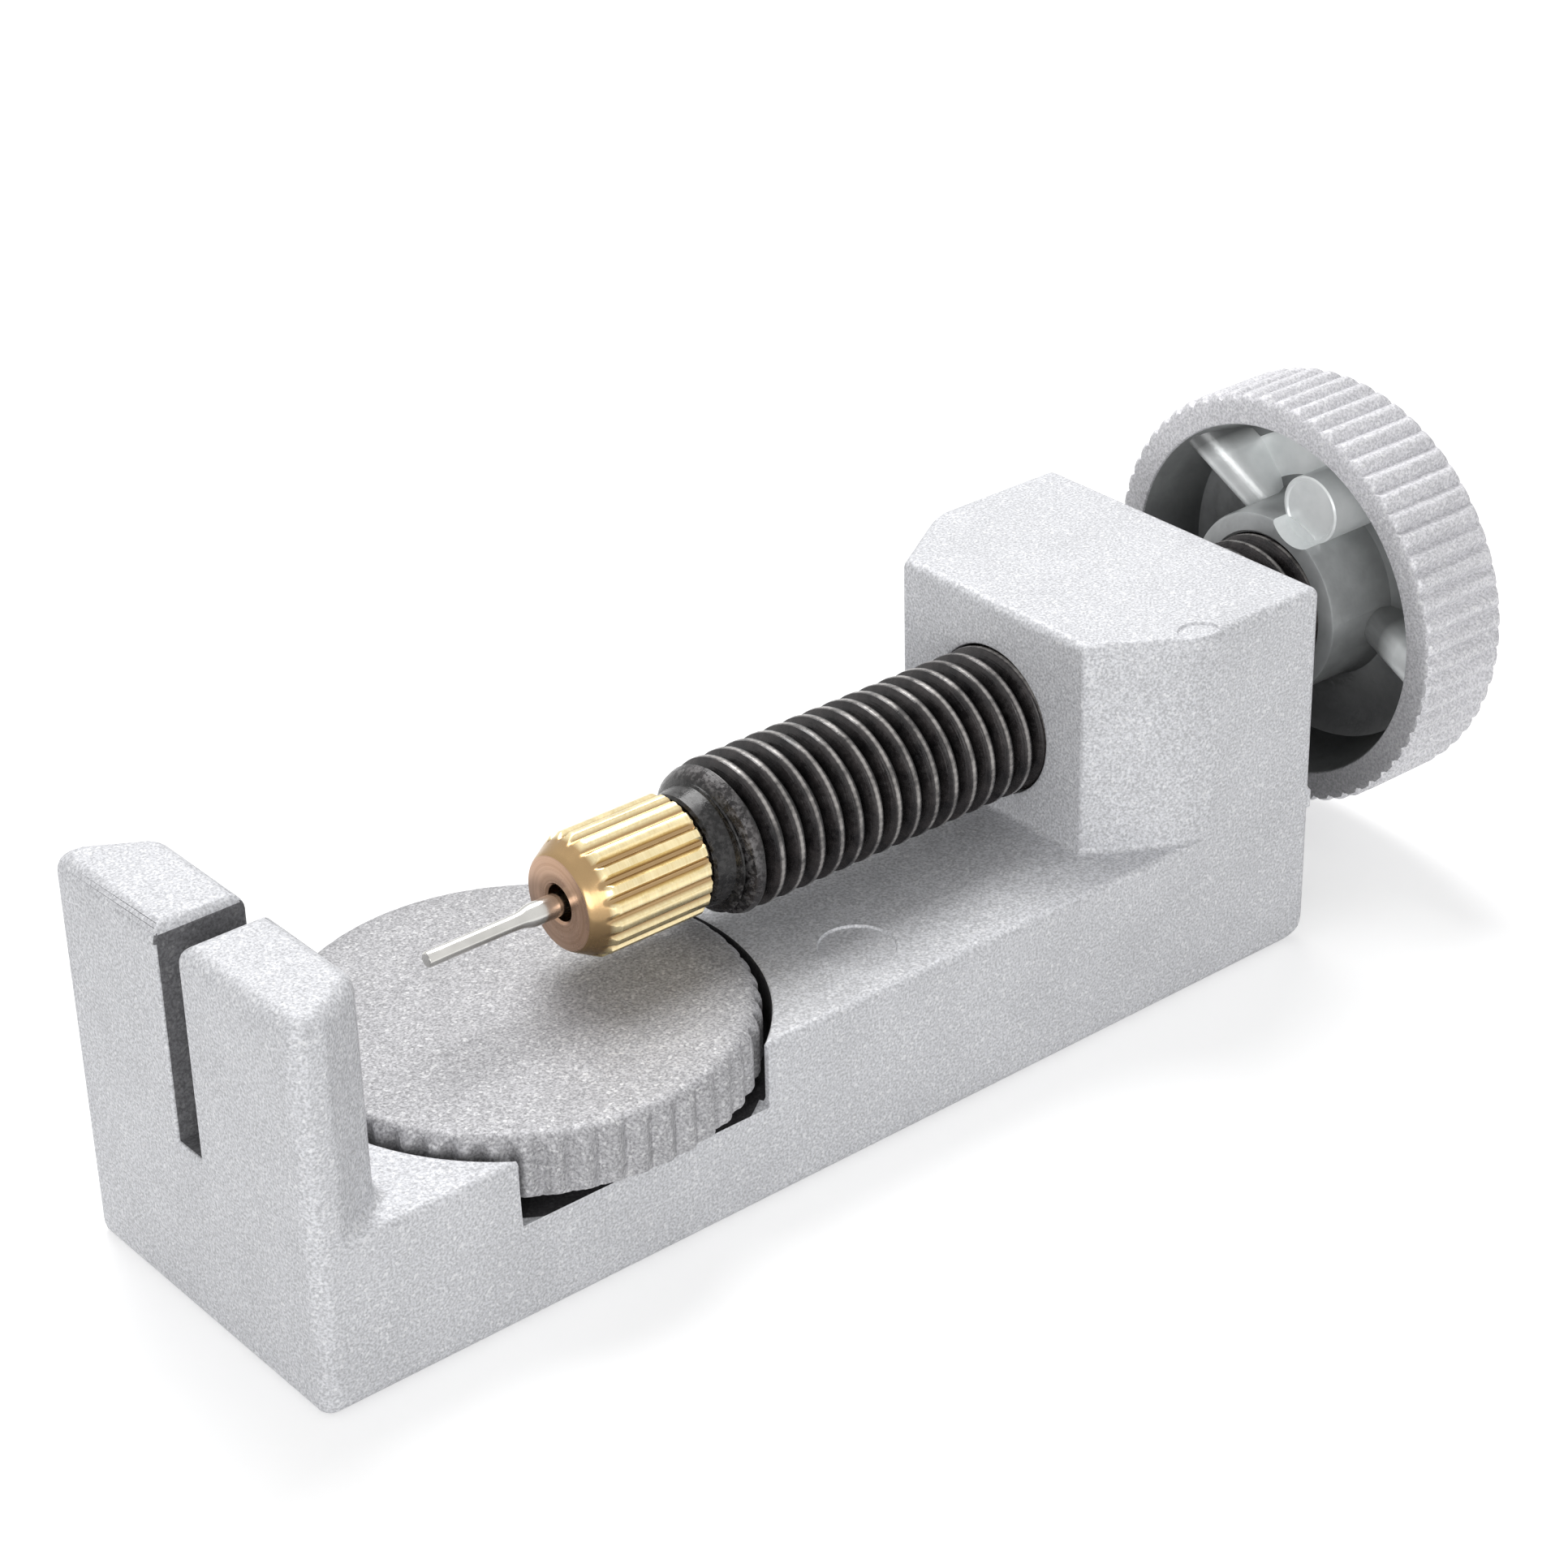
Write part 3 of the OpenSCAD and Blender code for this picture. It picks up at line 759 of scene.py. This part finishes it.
def cutStudHole(body):
    # the stud's hole, and the recess under it for the stop ring
    c = casting
    wide, narrow, deep = c["recessRadius"], c["studHole"], c["recessDepth"]
    lip, lead = c["recessLip"], c["studLead"]
    rings = [(-spare, wide + lip), (0, wide + lip), (lip, wide), (deep, wide), (deep, narrow + lead)]
    rings += [(deep + lead, narrow), (c["pocketFloor"] + spare, narrow)]
    hole = stackRings("hole", rings, holeSides)
    standOn(hole, discAxisX, 0, 0)
    combine(body, hole, "DIFFERENCE")


def cutBore(body):
    # screw hole, softened at both faces
    c = casting
    length, lip, r = c["rear"] - c["blockFront"], c["boreLip"], c["bore"]
    soft = lip * 0.3
    rings = [(-2 * spare, r + lip), (0, r + lip), (soft, r + soft), (lip, r), (length - lip, r)]
    rings += [(length - soft, r + soft), (length, r + lip), (length + 2 * spare, r + lip)]
    bore = stackRings("bore", rings, holeSides)
    layOnScrewAxis(bore, c["blockFront"])
    combine(body, bore, "DIFFERENCE")


def cutMarks(body):
    # round marks that the ejector pins of the die left
    c = casting
    for (x, y, radius), top in ((c["deckMark"], c["deck"]), (c["blockMark"], c["top"])):
        rings = [(-c["markDepth"], radius - c["markSlope"]), (0, radius), (spare, radius)]
        mark = stackRings("mark", rings, smallSides)
        standOn(mark, x, y, top)
        combine(body, mark, "DIFFERENCE")


def makeBodyCasting():
    c = casting
    w = c["halfWidth"]
    body = addBlock("bodyCasting", (c["front"], -w, 0), (c["rear"], w, c["deck"]))
    post = addBlock("post", (c["front"], -w, c["deck"] - 2 * spare), (c["postBack"], w, c["top"]))
    splitAcross(post, c["postCheek"])
    narrowAt(post, c["postBack"], c["postBackShare"])
    combine(body, post, "UNION")
    mergeFlats(body)
    roundEdges(body, slabEdgeRadius, 6)
    combine(body, makeBlock(), "UNION")
    cutSlot(body)
    cutPocket(body)
    cutStudHole(body)
    cutBore(body)
    cutMarks(body)
    roundEdges(body, lipRadius, 3)

    def inPocket(corner):
        away = math.hypot(corner.x - discAxisX, corner.y)
        level = c["pocketFloor"] - onPlane < corner.z < c["deck"] - c["slack"]
        return level and away < c["pocketRadius"] + c["pocketSlack"]

    def inSlot(corner):
        level = c["slotFloor"] - onPlane < corner.z < c["top"] - c["slotMouth"] * c["slotPaintTop"]
        inPost = corner.x < c["postBack"] + onPlane
        return level and inPost and abs(corner.y) < c["slotHalf"] + c["slotSlack"]

    # The pocket's walls and floor and the slot's walls are painted dark as painted shade.
    paintFaces(body, castCoat, [(pocketPaintedShadeCoat, inPocket), (slotPaintedShadeCoat, inSlot)])
    finishPiece(body, "body", "body_casting")


makeBodyCasting()


# Height disc with its threaded stud

ribCorners = 8


def ribbedRadii(outer, depth, breadth):
    # radii over one rib: a soft wave, with broader crowns for a greater breadth
    waves = [0.5 - 0.5 * math.cos(2 * math.pi * i / ribCorners) for i in range(ribCorners)]
    return [outer - depth * wave ** breadth for wave in waves]


heightDisc = {
    "radius": 11.7, "bottom": 6.4, "thick": 3.3, "ribs": 52, "ribDepth": 0.42, "ribBreadth": 1.2,
    "edge": 0.9, "lowerEdge": [(0, 1.2), (0, 0.35), (0.15, 0.1), (0.35, 0)], "topFlats": (2, 4),
    "spigotHole": 2.42, "spigotDepth": 2.12,
}


def makeHeightDisc():
    d = heightDisc
    r, t, e, hole = d["radius"], d["thick"], d["edge"], d["spigotHole"]
    rings = [(d["spigotDepth"], hole), (0, hole)]
    rings += [(up, r - short) for up, short in d["lowerEdge"]]
    rings += quarterRound(t - e, r - e, e, 90, 0, 8)
    rings += [(t, r - short) for short in d["topFlats"]]
    ribs = ribbedRadii(r, d["ribDepth"], d["ribBreadth"])
    disc = stackRings("heightDisc", rings, d["ribs"] * ribCorners, ribs)
    standOn(disc, discAxisX, 0, d["bottom"])
    finishPiece(disc, "disc", "height_disc", discCoat)


# Form of one thread in shares of the pitch: from the root or the crest, how far out of it and how far along
threadDepth = 0.6134
threadForm = [
    ("root", 0.0, 0.0), ("root", 0.03, 0.07), ("crest", -0.07, 0.31), ("crest", -0.02, 0.35),
    ("crest", 0.0, 0.455), ("crest", 0.0, 0.545), ("crest", -0.02, 0.65), ("crest", -0.07, 0.69),
    ("root", 0.03, 0.93), ("root", 0.0, 1.0),
]


def makeThread(name, radius, pitch, length, start):
    # a thread of full form, longer than the piece that it will be cut to
    bases = {"root": radius - threadDepth * pitch, "crest": radius}
    points = [(bases[base] + out * pitch, along * pitch) for base, out, along in threadForm]
    clearSelection()
    bpy.ops.mesh.primitive_plane_add(size=0.1, location=(0, 0, 0))
    thread = bpy.context.object
    thread.name = name
    startEditing(thread)
    selectAll()
    bpy.ops.mesh.merge(type="CENTER")
    bpy.ops.transform.translate(value=(points[0][0], 0, points[0][1]))
    for (r0, z0), (r1, z1) in zip(points, points[1:]):
        extrudeBy((r1 - r0, 0, z1 - z0))
    stopEditing()
    turns = math.ceil(length / pitch) + 2
    step = thread.modifiers.new("thread", "SCREW")
    step.axis = "Z"
    step.angle = 2 * math.pi
    step.screw_offset = pitch
    step.iterations = turns
    step.steps = smallSides
    step.render_steps = smallSides
    step.use_merge_vertices = True
    step.merge_threshold = weldGap
    applyStep(thread, step)
    startEditing(thread)
    selectAll()
    bpy.ops.mesh.remove_doubles(threshold=weldGap)
    cutLevel(pitch, use_fill=True, clear_inner=True)
    cutLevel(pitch * turns - onPlane, use_fill=True, clear_outer=True)
    faceOutwards()
    stopEditing()
    standOn(thread, 0, 0, start - pitch)
    return thread


# Stacks that close at both ends do so by a small cap of this radius.
capRadius = 0.6

discStud = {
    "end": 1.0, "radius": 3.0, "pitch": 1.0, "grooveLow": 1.5, "grooveHigh": 2.2, "grooveRadius": 2.3,
    "neck": 6.38, "spigot": 2.4, "top": 8.5, "tip": 0.4, "threadStart": 0.5,
}


def makeDiscStud():
    s = discStud
    r, g, end, top = s["radius"], s["grooveRadius"], s["end"], s["top"]
    rings = [(end, capRadius), (end, r - s["tip"]), (end + s["tip"], r)]
    rings += [(s["grooveLow"], r), (s["grooveLow"], g), (s["grooveHigh"], g), (s["grooveHigh"], r)]
    rings += [(s["neck"], r), (s["neck"], s["spigot"]), (top, s["spigot"]), (top, capRadius)]
    stud = stackRings("discStud", rings, holeSides)
    thread = makeThread("studThread", r, s["pitch"], top - end + spare, end - s["threadStart"])
    combine(stud, thread, "INTERSECT")
    standOn(stud, discAxisX, 0, 0)
    finishPiece(stud, "disc", "disc_stud", studSteel, 40)


makeHeightDisc()
makeDiscStud()

# The stop ring stays as it is in the solids, with the stud's finish.
giveFinish(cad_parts["stop_ring"], studSteel)
print("disc side done")


# Drive screw

driveScrew = {
    "stubEnd": -13.25, "stubRadius": 2.0, "stubLength": 3.9, "stubEdge": 0.15,
    "radius": 4.0, "pitch": 1.25, "rear": 36.35, "rearEdge": 0.5,
    "nose": [
        (0.0, 2.80), (0.12, 2.95), (0.55, 3.02), (1.10, 3.12), (1.25, 3.45), (1.50, 3.72), (2.30, 4.00),
    ],
    "threadStart": -0.6,
}


def makeDriveScrew():
    s = driveScrew
    r, stub, edge = s["radius"], s["stubRadius"], s["stubEdge"]
    length = s["rear"] - s["stubEnd"]
    rings = [(0, capRadius), (0, stub - edge), (edge, stub), (s["stubLength"], stub)]
    rings += [(s["stubLength"] + along, radius) for along, radius in s["nose"]]
    rings += [(length - s["rearEdge"], r), (length, r - s["rearEdge"]), (length, capRadius)]
    screw = stackRings("driveScrew", rings, holeSides)
    thread = makeThread("screwThread", r, s["pitch"], length + 2 * spare, s["threadStart"])
    combine(screw, thread, "INTERSECT")
    layOnScrewAxis(screw, s["stubEnd"])
    finishPiece(screw, "screw", "drive_screw", blackOxide, 38)


makeDriveScrew()
print("drive screw done")


# Pin nut and push pin

pinNut = {
    "front": -16.65, "length": 7.0, "radius": 3.2, "faceRadius": 2.45, "cone": 1.35, "wall": 1.7,
    "hole": 0.95, "holeEdge": 0.12, "bore": 2.02, "grooves": 20, "grooveDepth": 0.3, "rearEdge": 0.15,
    "faceEdge": [(0.0, 0.08), (0.03, 0.02)], "faceDepth": 0.35, "shoulder": 0.1,
    "land": [0.0, 0.08, 0.45, 0.92, 1.0, 1.0, 1.0, 0.92, 0.45, 0.08],
}


def makePinNut():
    # the shares of "land" set the corners over one land and the groove beside it
    n = pinNut
    r, face, hole, length, edge = n["radius"], n["faceRadius"], n["hole"], n["length"], n["rearEdge"]
    low = r - n["grooveDepth"]
    land = [low + n["grooveDepth"] * share for share in n["land"]]
    rings = [(n["wall"], hole), (n["holeEdge"], hole), (0.0, hole + n["holeEdge"])]
    rings += [(along, face - short) for along, short in n["faceEdge"]]
    rings += [(n["cone"] * i / 8, face + (r - face) * i / 8) for i in range(1, 9)]
    rings += [(n["cone"] + n["shoulder"], r), (length - edge, r), (length, r - edge)]
    rings += [(length, n["bore"]), (n["wall"], n["bore"])]
    nut = stackRings("pinNut", rings, n["grooves"] * len(land), land, endless=True)
    layOnScrewAxis(nut, n["front"])

    def onFace(corner):
        return corner.x < n["front"] + n["faceDepth"] and hole - 0.1 < awayFromScrew(corner) < face

    paintFaces(nut, brass, [(brassFace, onFace)])
    finishPiece(nut, "screw", "pin_nut", smoothUnder=30)


pushPin = {
    "tipEnd": -24.30, "tipRadius": 0.4, "tipLength": 5.2, "taper": 0.9, "shankRadius": 0.6,
    "headStart": 9.41, "headLength": 1.3, "headRadius": 1.96, "headEdge": 0.1,
    "point": [(0, 0.28), (0, 0.08), (0.03, 0.03), (0.09, 0), (1.2, 0)],
    "beforeTaper": 0.6, "swell": 0.015, "afterTaper": 0.4,
}


def makePushPin():
    p = pushPin
    tip, t, s = p["tipLength"], p["tipRadius"], p["shankRadius"]
    start, head, edge = p["headStart"], p["headRadius"], p["headEdge"]
    end = start + p["headLength"]
    rings = [(along, t - short) for along, short in p["point"]]
    rings += [(tip - p["beforeTaper"], t), (tip, t + p["swell"])]
    rings += [(tip + p["taper"] * u, t + (s - t) * (u * u * (3 - 2 * u))) for u in (0.25, 0.5, 0.75, 1.0)]
    rings += [(tip + p["taper"] + p["afterTaper"], s), (start, s), (start, head - edge)]
    rings += [(start + edge, head), (end - edge, head), (end, head - edge), (end, t)]
    pin = stackRings("pushPin", rings, pinSides)
    layOnScrewAxis(pin, p["tipEnd"])
    finishPiece(pin, "pin", "push_pin", brightSteel, 30)


makePinNut()
makePushPin()
print("nut and pin done")


# Knob

turnKnob = {
    "rimFront": 31.7, "depth": 5.95, "radius": 11.7, "ribs": 60, "ribDepth": 0.42, "ribBreadth": 1.7,
    "faceRadius": 11.2, "faceEdge": 0.02, "rise": 0.5, "riseSteps": (0, 0.2, 0.4, 0.6, 0.8, 0.93),
    "back": 0.7, "sides": (3.0, 0.8),
    "dish": [(0.25, 3.0), (0.25, 7.8), (0.2, 8.1), (0.04, 8.35), (0.0, 8.6)],
    "hollow": 9.95, "hollowDepth": 4.1, "floorRadius": 9.3,
    "hollowEdge": [(0.0, 0.18), (0.03, 0.07), (0.12, 0.0)],
    "hollowFoot": [(0.7, 0.02), (0.25, -0.2), (0.0, -0.8)],
    "hub": 5.2, "hubProud": 0.45, "hubFoot": [(0.0, 0.8), (0.2, 0.25), (0.7, 0.04)],
    "hubEdge": [(0.2, 0.0), (0.06, 0.05), (0.0, 0.2)], "grip": 4.65, "bore": 4.02, "boreEdge": 0.15,
    "spokes": (48, 187, 298), "spokeRadius": 1.05, "spokeDepth": 0.45, "spokeFall": 1.7,
    "spokeStart": 10.55, "spokeEnd": 4.6,
    "padAngle": 110, "padRadius": 1.9, "padOffset": 6.4, "padFront": 0.55,
    "padFace": [(0.1, 0.3), (0.0, 0.22), (0.0, 0.1), (0.08, 0.0)], "sunk": 0.3,
}

# How far past its form each tone of the knob reaches, in millimetres, and in degrees for the panel; these
# tones carry painted light and shade
knobTones = {
    "hollow": 0.03, "floor": 0.2, "ring": 0.02, "ringDepth": 0.13, "pad": 0.03, "hub": 0.15,
    "spoke": 0.02, "crown": 0.06, "panel": 0.05, "panelStart": 6, "panelEnd": 14,
}


def aroundKnob(angle):
    # direction in the ring stack's own plane for an angle seen from the post, from +Y towards +Z
    a = math.radians(angle + 90)
    return Vector((math.cos(a), math.sin(a), 0))


def addSpoke(angle):
    # rod whose crown falls from the rim to the hub, on a web down to the hollow's floor
    k = turnKnob
    r, floor, wall = k["spokeRadius"], k["hollowDepth"] + k["sunk"], k["hollow"]
    slope = k["spokeFall"] / (wall - k["hub"])
    tilt = math.atan(slope)
    depthAtWall = k["spokeDepth"] + r / math.cos(tilt)
    depthAtStart = depthAtWall - (k["spokeStart"] - wall) * slope
    depthAtEnd = depthAtWall + (wall - k["spokeEnd"]) * slope
    length = (k["spokeStart"] - k["spokeEnd"]) / math.cos(tilt)
    start = (k["spokeStart"], 0, depthAtStart)
    rod = addRod("spoke", r, length, start, spokeSides, (0, tilt - math.pi / 2, 0))
    web = addBlock("web", (k["spokeEnd"], -r, depthAtStart), (k["spokeStart"], r, floor))
    startEditing(web)
    pickCorners(web, lambda corner: corner.co.x < k["hub"] and corner.co.z < floor - 0.1)
    bpy.ops.transform.translate(value=(0, 0, depthAtEnd - depthAtStart))
    stopEditing()
    combine(rod, web, "UNION")
    takeHold(rod)
    rod.rotation_euler = (0, 0, math.radians(angle + 90))
    settle()
    return rod


def knobProfile():
    k = turnKnob
    r, t, b, hub = k["radius"], k["depth"], k["back"], k["hub"]
    floor, face, rise, front = k["hollowDepth"], k["faceRadius"], k["rise"], -k["hubProud"]
    rings = [(t - short, radius) for short, radius in k["dish"]] + [(t, r - b)]
    rings += quarterRound(t - b, r - b, b, 15, 90, 5)
    rings += [(along, r) for along in k["sides"]]
    rings += [(rise * (1 - u), face + (r - face) * math.sqrt(1 - u * u)) for u in k["riseSteps"]]
    rings += [(0.0, face - k["faceEdge"])]
    rings += [(along, k["hollow"] + out) for along, out in k["hollowEdge"]]
    rings += [(floor - short, k["floorRadius"] + out) for short, out in k["hollowFoot"]]
    rings += [(floor - short, hub + out) for short, out in k["hubFoot"]]
    rings += [(front + along, hub - short) for along, short in k["hubEdge"]]
    rings += [(front, k["bore"] + k["boreEdge"]), (front + k["boreEdge"], k["bore"]), (k["grip"], k["bore"])]
    return rings


def addPad(knob):
    # the hub is cut where the round pad stands beside it
    k = turnKnob
    front, side = k["padFront"], k["padRadius"]
    way = aroundKnob(k["padAngle"]) * k["padOffset"]
    reach = 3 * spare
    combine(knob, addRod("padCut", side, reach, (way.x, way.y, front - reach), smallSides), "DIFFERENCE")
    rings = [(front + 0.1, 0.5)] + [(front + along, side - short) for along, short in k["padFace"]]
    rings += [(k["hollowDepth"] + k["sunk"], side)]
    pad = stackRings("pad", rings, smallSides)
    standOn(pad, way.x, way.y, 0)
    combine(knob, pad, "UNION")


def makeTurnKnob():
    k, tones = turnKnob, knobTones
    ribs = ribbedRadii(k["radius"], k["ribDepth"], k["ribBreadth"])
    knob = stackRings("turnKnob", knobProfile(), k["ribs"] * ribCorners, ribs)
    addPad(knob)
    for angle in k["spokes"]:
        combine(knob, addSpoke(angle), "UNION")
    layOnScrewAxis(knob, k["rimFront"])
    floor = k["rimFront"] + k["hollowDepth"]

    def inHollow(corner):
        return awayFromScrew(corner) < k["hollow"] + tones["hollow"] and corner.x < floor + tones["floor"]

    def onRing(corner):
        near = corner.x < k["rimFront"] + tones["ringDepth"]
        return near and awayFromScrew(corner) > k["hollow"] - tones["ring"]

    def onPad(corner):
        a = math.radians(k["padAngle"])
        aside = corner.y - k["padOffset"] * math.cos(a)
        up = corner.z - screwAxisHeight - k["padOffset"] * math.sin(a)
        return inHollow(corner) and math.hypot(aside, up) < k["padRadius"] + tones["pad"]

    def onSpoke(corner, angle):
        a = math.radians(angle)
        up = corner.z - screwAxisHeight
        out = corner.y * math.cos(a) + up * math.sin(a)
        aside = abs(corner.y * math.sin(a) - up * math.cos(a))
        fall = (k["hollow"] - out) * k["spokeFall"] / (k["hollow"] - k["hub"])
        crown = k["rimFront"] + k["spokeDepth"] + fall
        beside = out > k["hub"] - tones["hub"] and aside < k["spokeRadius"] + tones["spoke"]
        return inHollow(corner) and beside and corner.x > crown - tones["crown"]

    def onPanel(corner):
        # the floor of the hollow between the upper spoke and the pad, painted bright as painted light
        turn = math.degrees(math.atan2(corner.z - screwAxisHeight, corner.y))
        between = k["spokes"][0] + tones["panelStart"] < turn < k["padAngle"] - tones["panelEnd"]
        return inHollow(corner) and between and corner.x > floor - tones["panel"]

    # The ring and the hollow take painted shade; the pad, the panel and the spokes take painted light.
    paintFaces(knob, knobCoat, [
        (ringPaintedShadeCoat, onRing),
        (hollowZincPaintedShade, inHollow),
        (zincPaintedLight, onPad),
        (zincPaintedLight, onPanel),
        (zincPaintedLight, lambda corner: onSpoke(corner, k["spokes"][0])),
        (sideZincPaintedLight, lambda corner: onSpoke(corner, k["spokes"][1])),
    ])
    finishPiece(knob, "screw", "knob")


makeTurnKnob()
print("knob done")


# Floor, light and camera

table = {"size": 3, "height": -0.00005, "tone": (0.72, 0.72, 0.72, 1), "roughness": 0.9, "seen": 0.475}
sky = {"base": 0.5, "seen": 1.0}
white = (1, 1, 1, 1)
lampAim = (0.0, 0.0, 0.01)
lamps = {
    "keyLamp": {"place": (0.09, 0.17, 0.32), "size": 0.24, "power": 0.94},
    "fillLamp": {"place": (-0.31, -0.32, 0.09), "size": 0.3, "power": 0.96},
}

# The photograph's own viewpoint, from a fit to the body's edges
photoView = {
    "lens": 85.58, "sensor": 36, "nearest": 0.005, "farthest": 20, "place": (-0.104042, -0.125118, 0.104969),
    "right": (0.76907443, -0.63879024, -0.02171497), "up": (0.32519671, 0.36182198, 0.87368871),
    "ahead": (0.55024687, 0.67899328, -0.48600052),
}


def litFor(tree, base, seen):
    # a strength that is base for most light and seen for the camera, for reflections and through glass
    path = put(tree, "ShaderNodeLightPath")
    either = put(tree, "ShaderNodeMath", operation="MAXIMUM")
    tree.links.new(path.outputs["Is Camera Ray"], either.inputs[0])
    tree.links.new(path.outputs["Is Glossy Ray"], either.inputs[1])
    through = put(tree, "ShaderNodeMath", operation="MAXIMUM")
    tree.links.new(either.outputs[0], through.inputs[0])
    tree.links.new(path.outputs["Is Transmission Ray"], through.inputs[1])
    return spread(tree, through.outputs[0], 0, 1, base, seen)


def makeFloor():
    clearSelection()
    bpy.ops.mesh.primitive_plane_add(size=table["size"], location=(0, 0, table["height"]))
    floor = bpy.context.object
    floor.name = "tableTop"
    finish, tree, shader = newFinish("whiteTable")
    shader.inputs["Base Color"].default_value = table["tone"]
    shader.inputs["Roughness"].default_value = table["roughness"]
    shader.inputs["Specular IOR Level"].default_value = 0.0
    shader.inputs["Emission Color"].default_value = white
    tree.links.new(litFor(tree, 0.0, table["seen"]), shader.inputs["Emission Strength"])
    floor.data.materials.append(finish)


def makeWorld():
    world = bpy.data.worlds.new("studio")
    bpy.context.scene.world = world
    world.use_nodes = True
    background = world.node_tree.nodes["Background"]
    background.inputs["Color"].default_value = white
    strength = litFor(world.node_tree, sky["base"], sky["seen"])
    world.node_tree.links.new(strength, background.inputs["Strength"])


def addSoftLamp(name, settings):
    light = bpy.data.lights.new(name, "AREA")
    light.shape = "DISK"
    light.size = settings["size"]
    light.energy = settings["power"]
    lamp = bpy.data.objects.new(name, light)
    bpy.context.scene.collection.objects.link(lamp)
    lamp.location = settings["place"]
    lamp.rotation_mode = "QUATERNION"
    lamp.rotation_quaternion = (Vector(lampAim) - Vector(settings["place"])).to_track_quat("-Z", "Y")


def addCamera():
    v = photoView
    data = bpy.data.cameras.new("photoView")
    data.sensor_width = v["sensor"]
    data.lens = v["lens"]
    data.clip_start = v["nearest"]
    data.clip_end = v["farthest"]
    camera = bpy.data.objects.new("photoView", data)
    bpy.context.scene.collection.objects.link(camera)
    turn = Matrix((Vector(v["right"]), Vector(v["up"]), -Vector(v["ahead"]))).transposed().to_4x4()
    camera.matrix_world = Matrix.Translation(v["place"]) @ turn
    bpy.context.scene.camera = camera


makeFloor()
makeWorld()
for name, settings in lamps.items():
    addSoftLamp(name, settings)
addCamera()
bpy.context.scene.view_settings.view_transform = "Standard"
print("light and camera done")
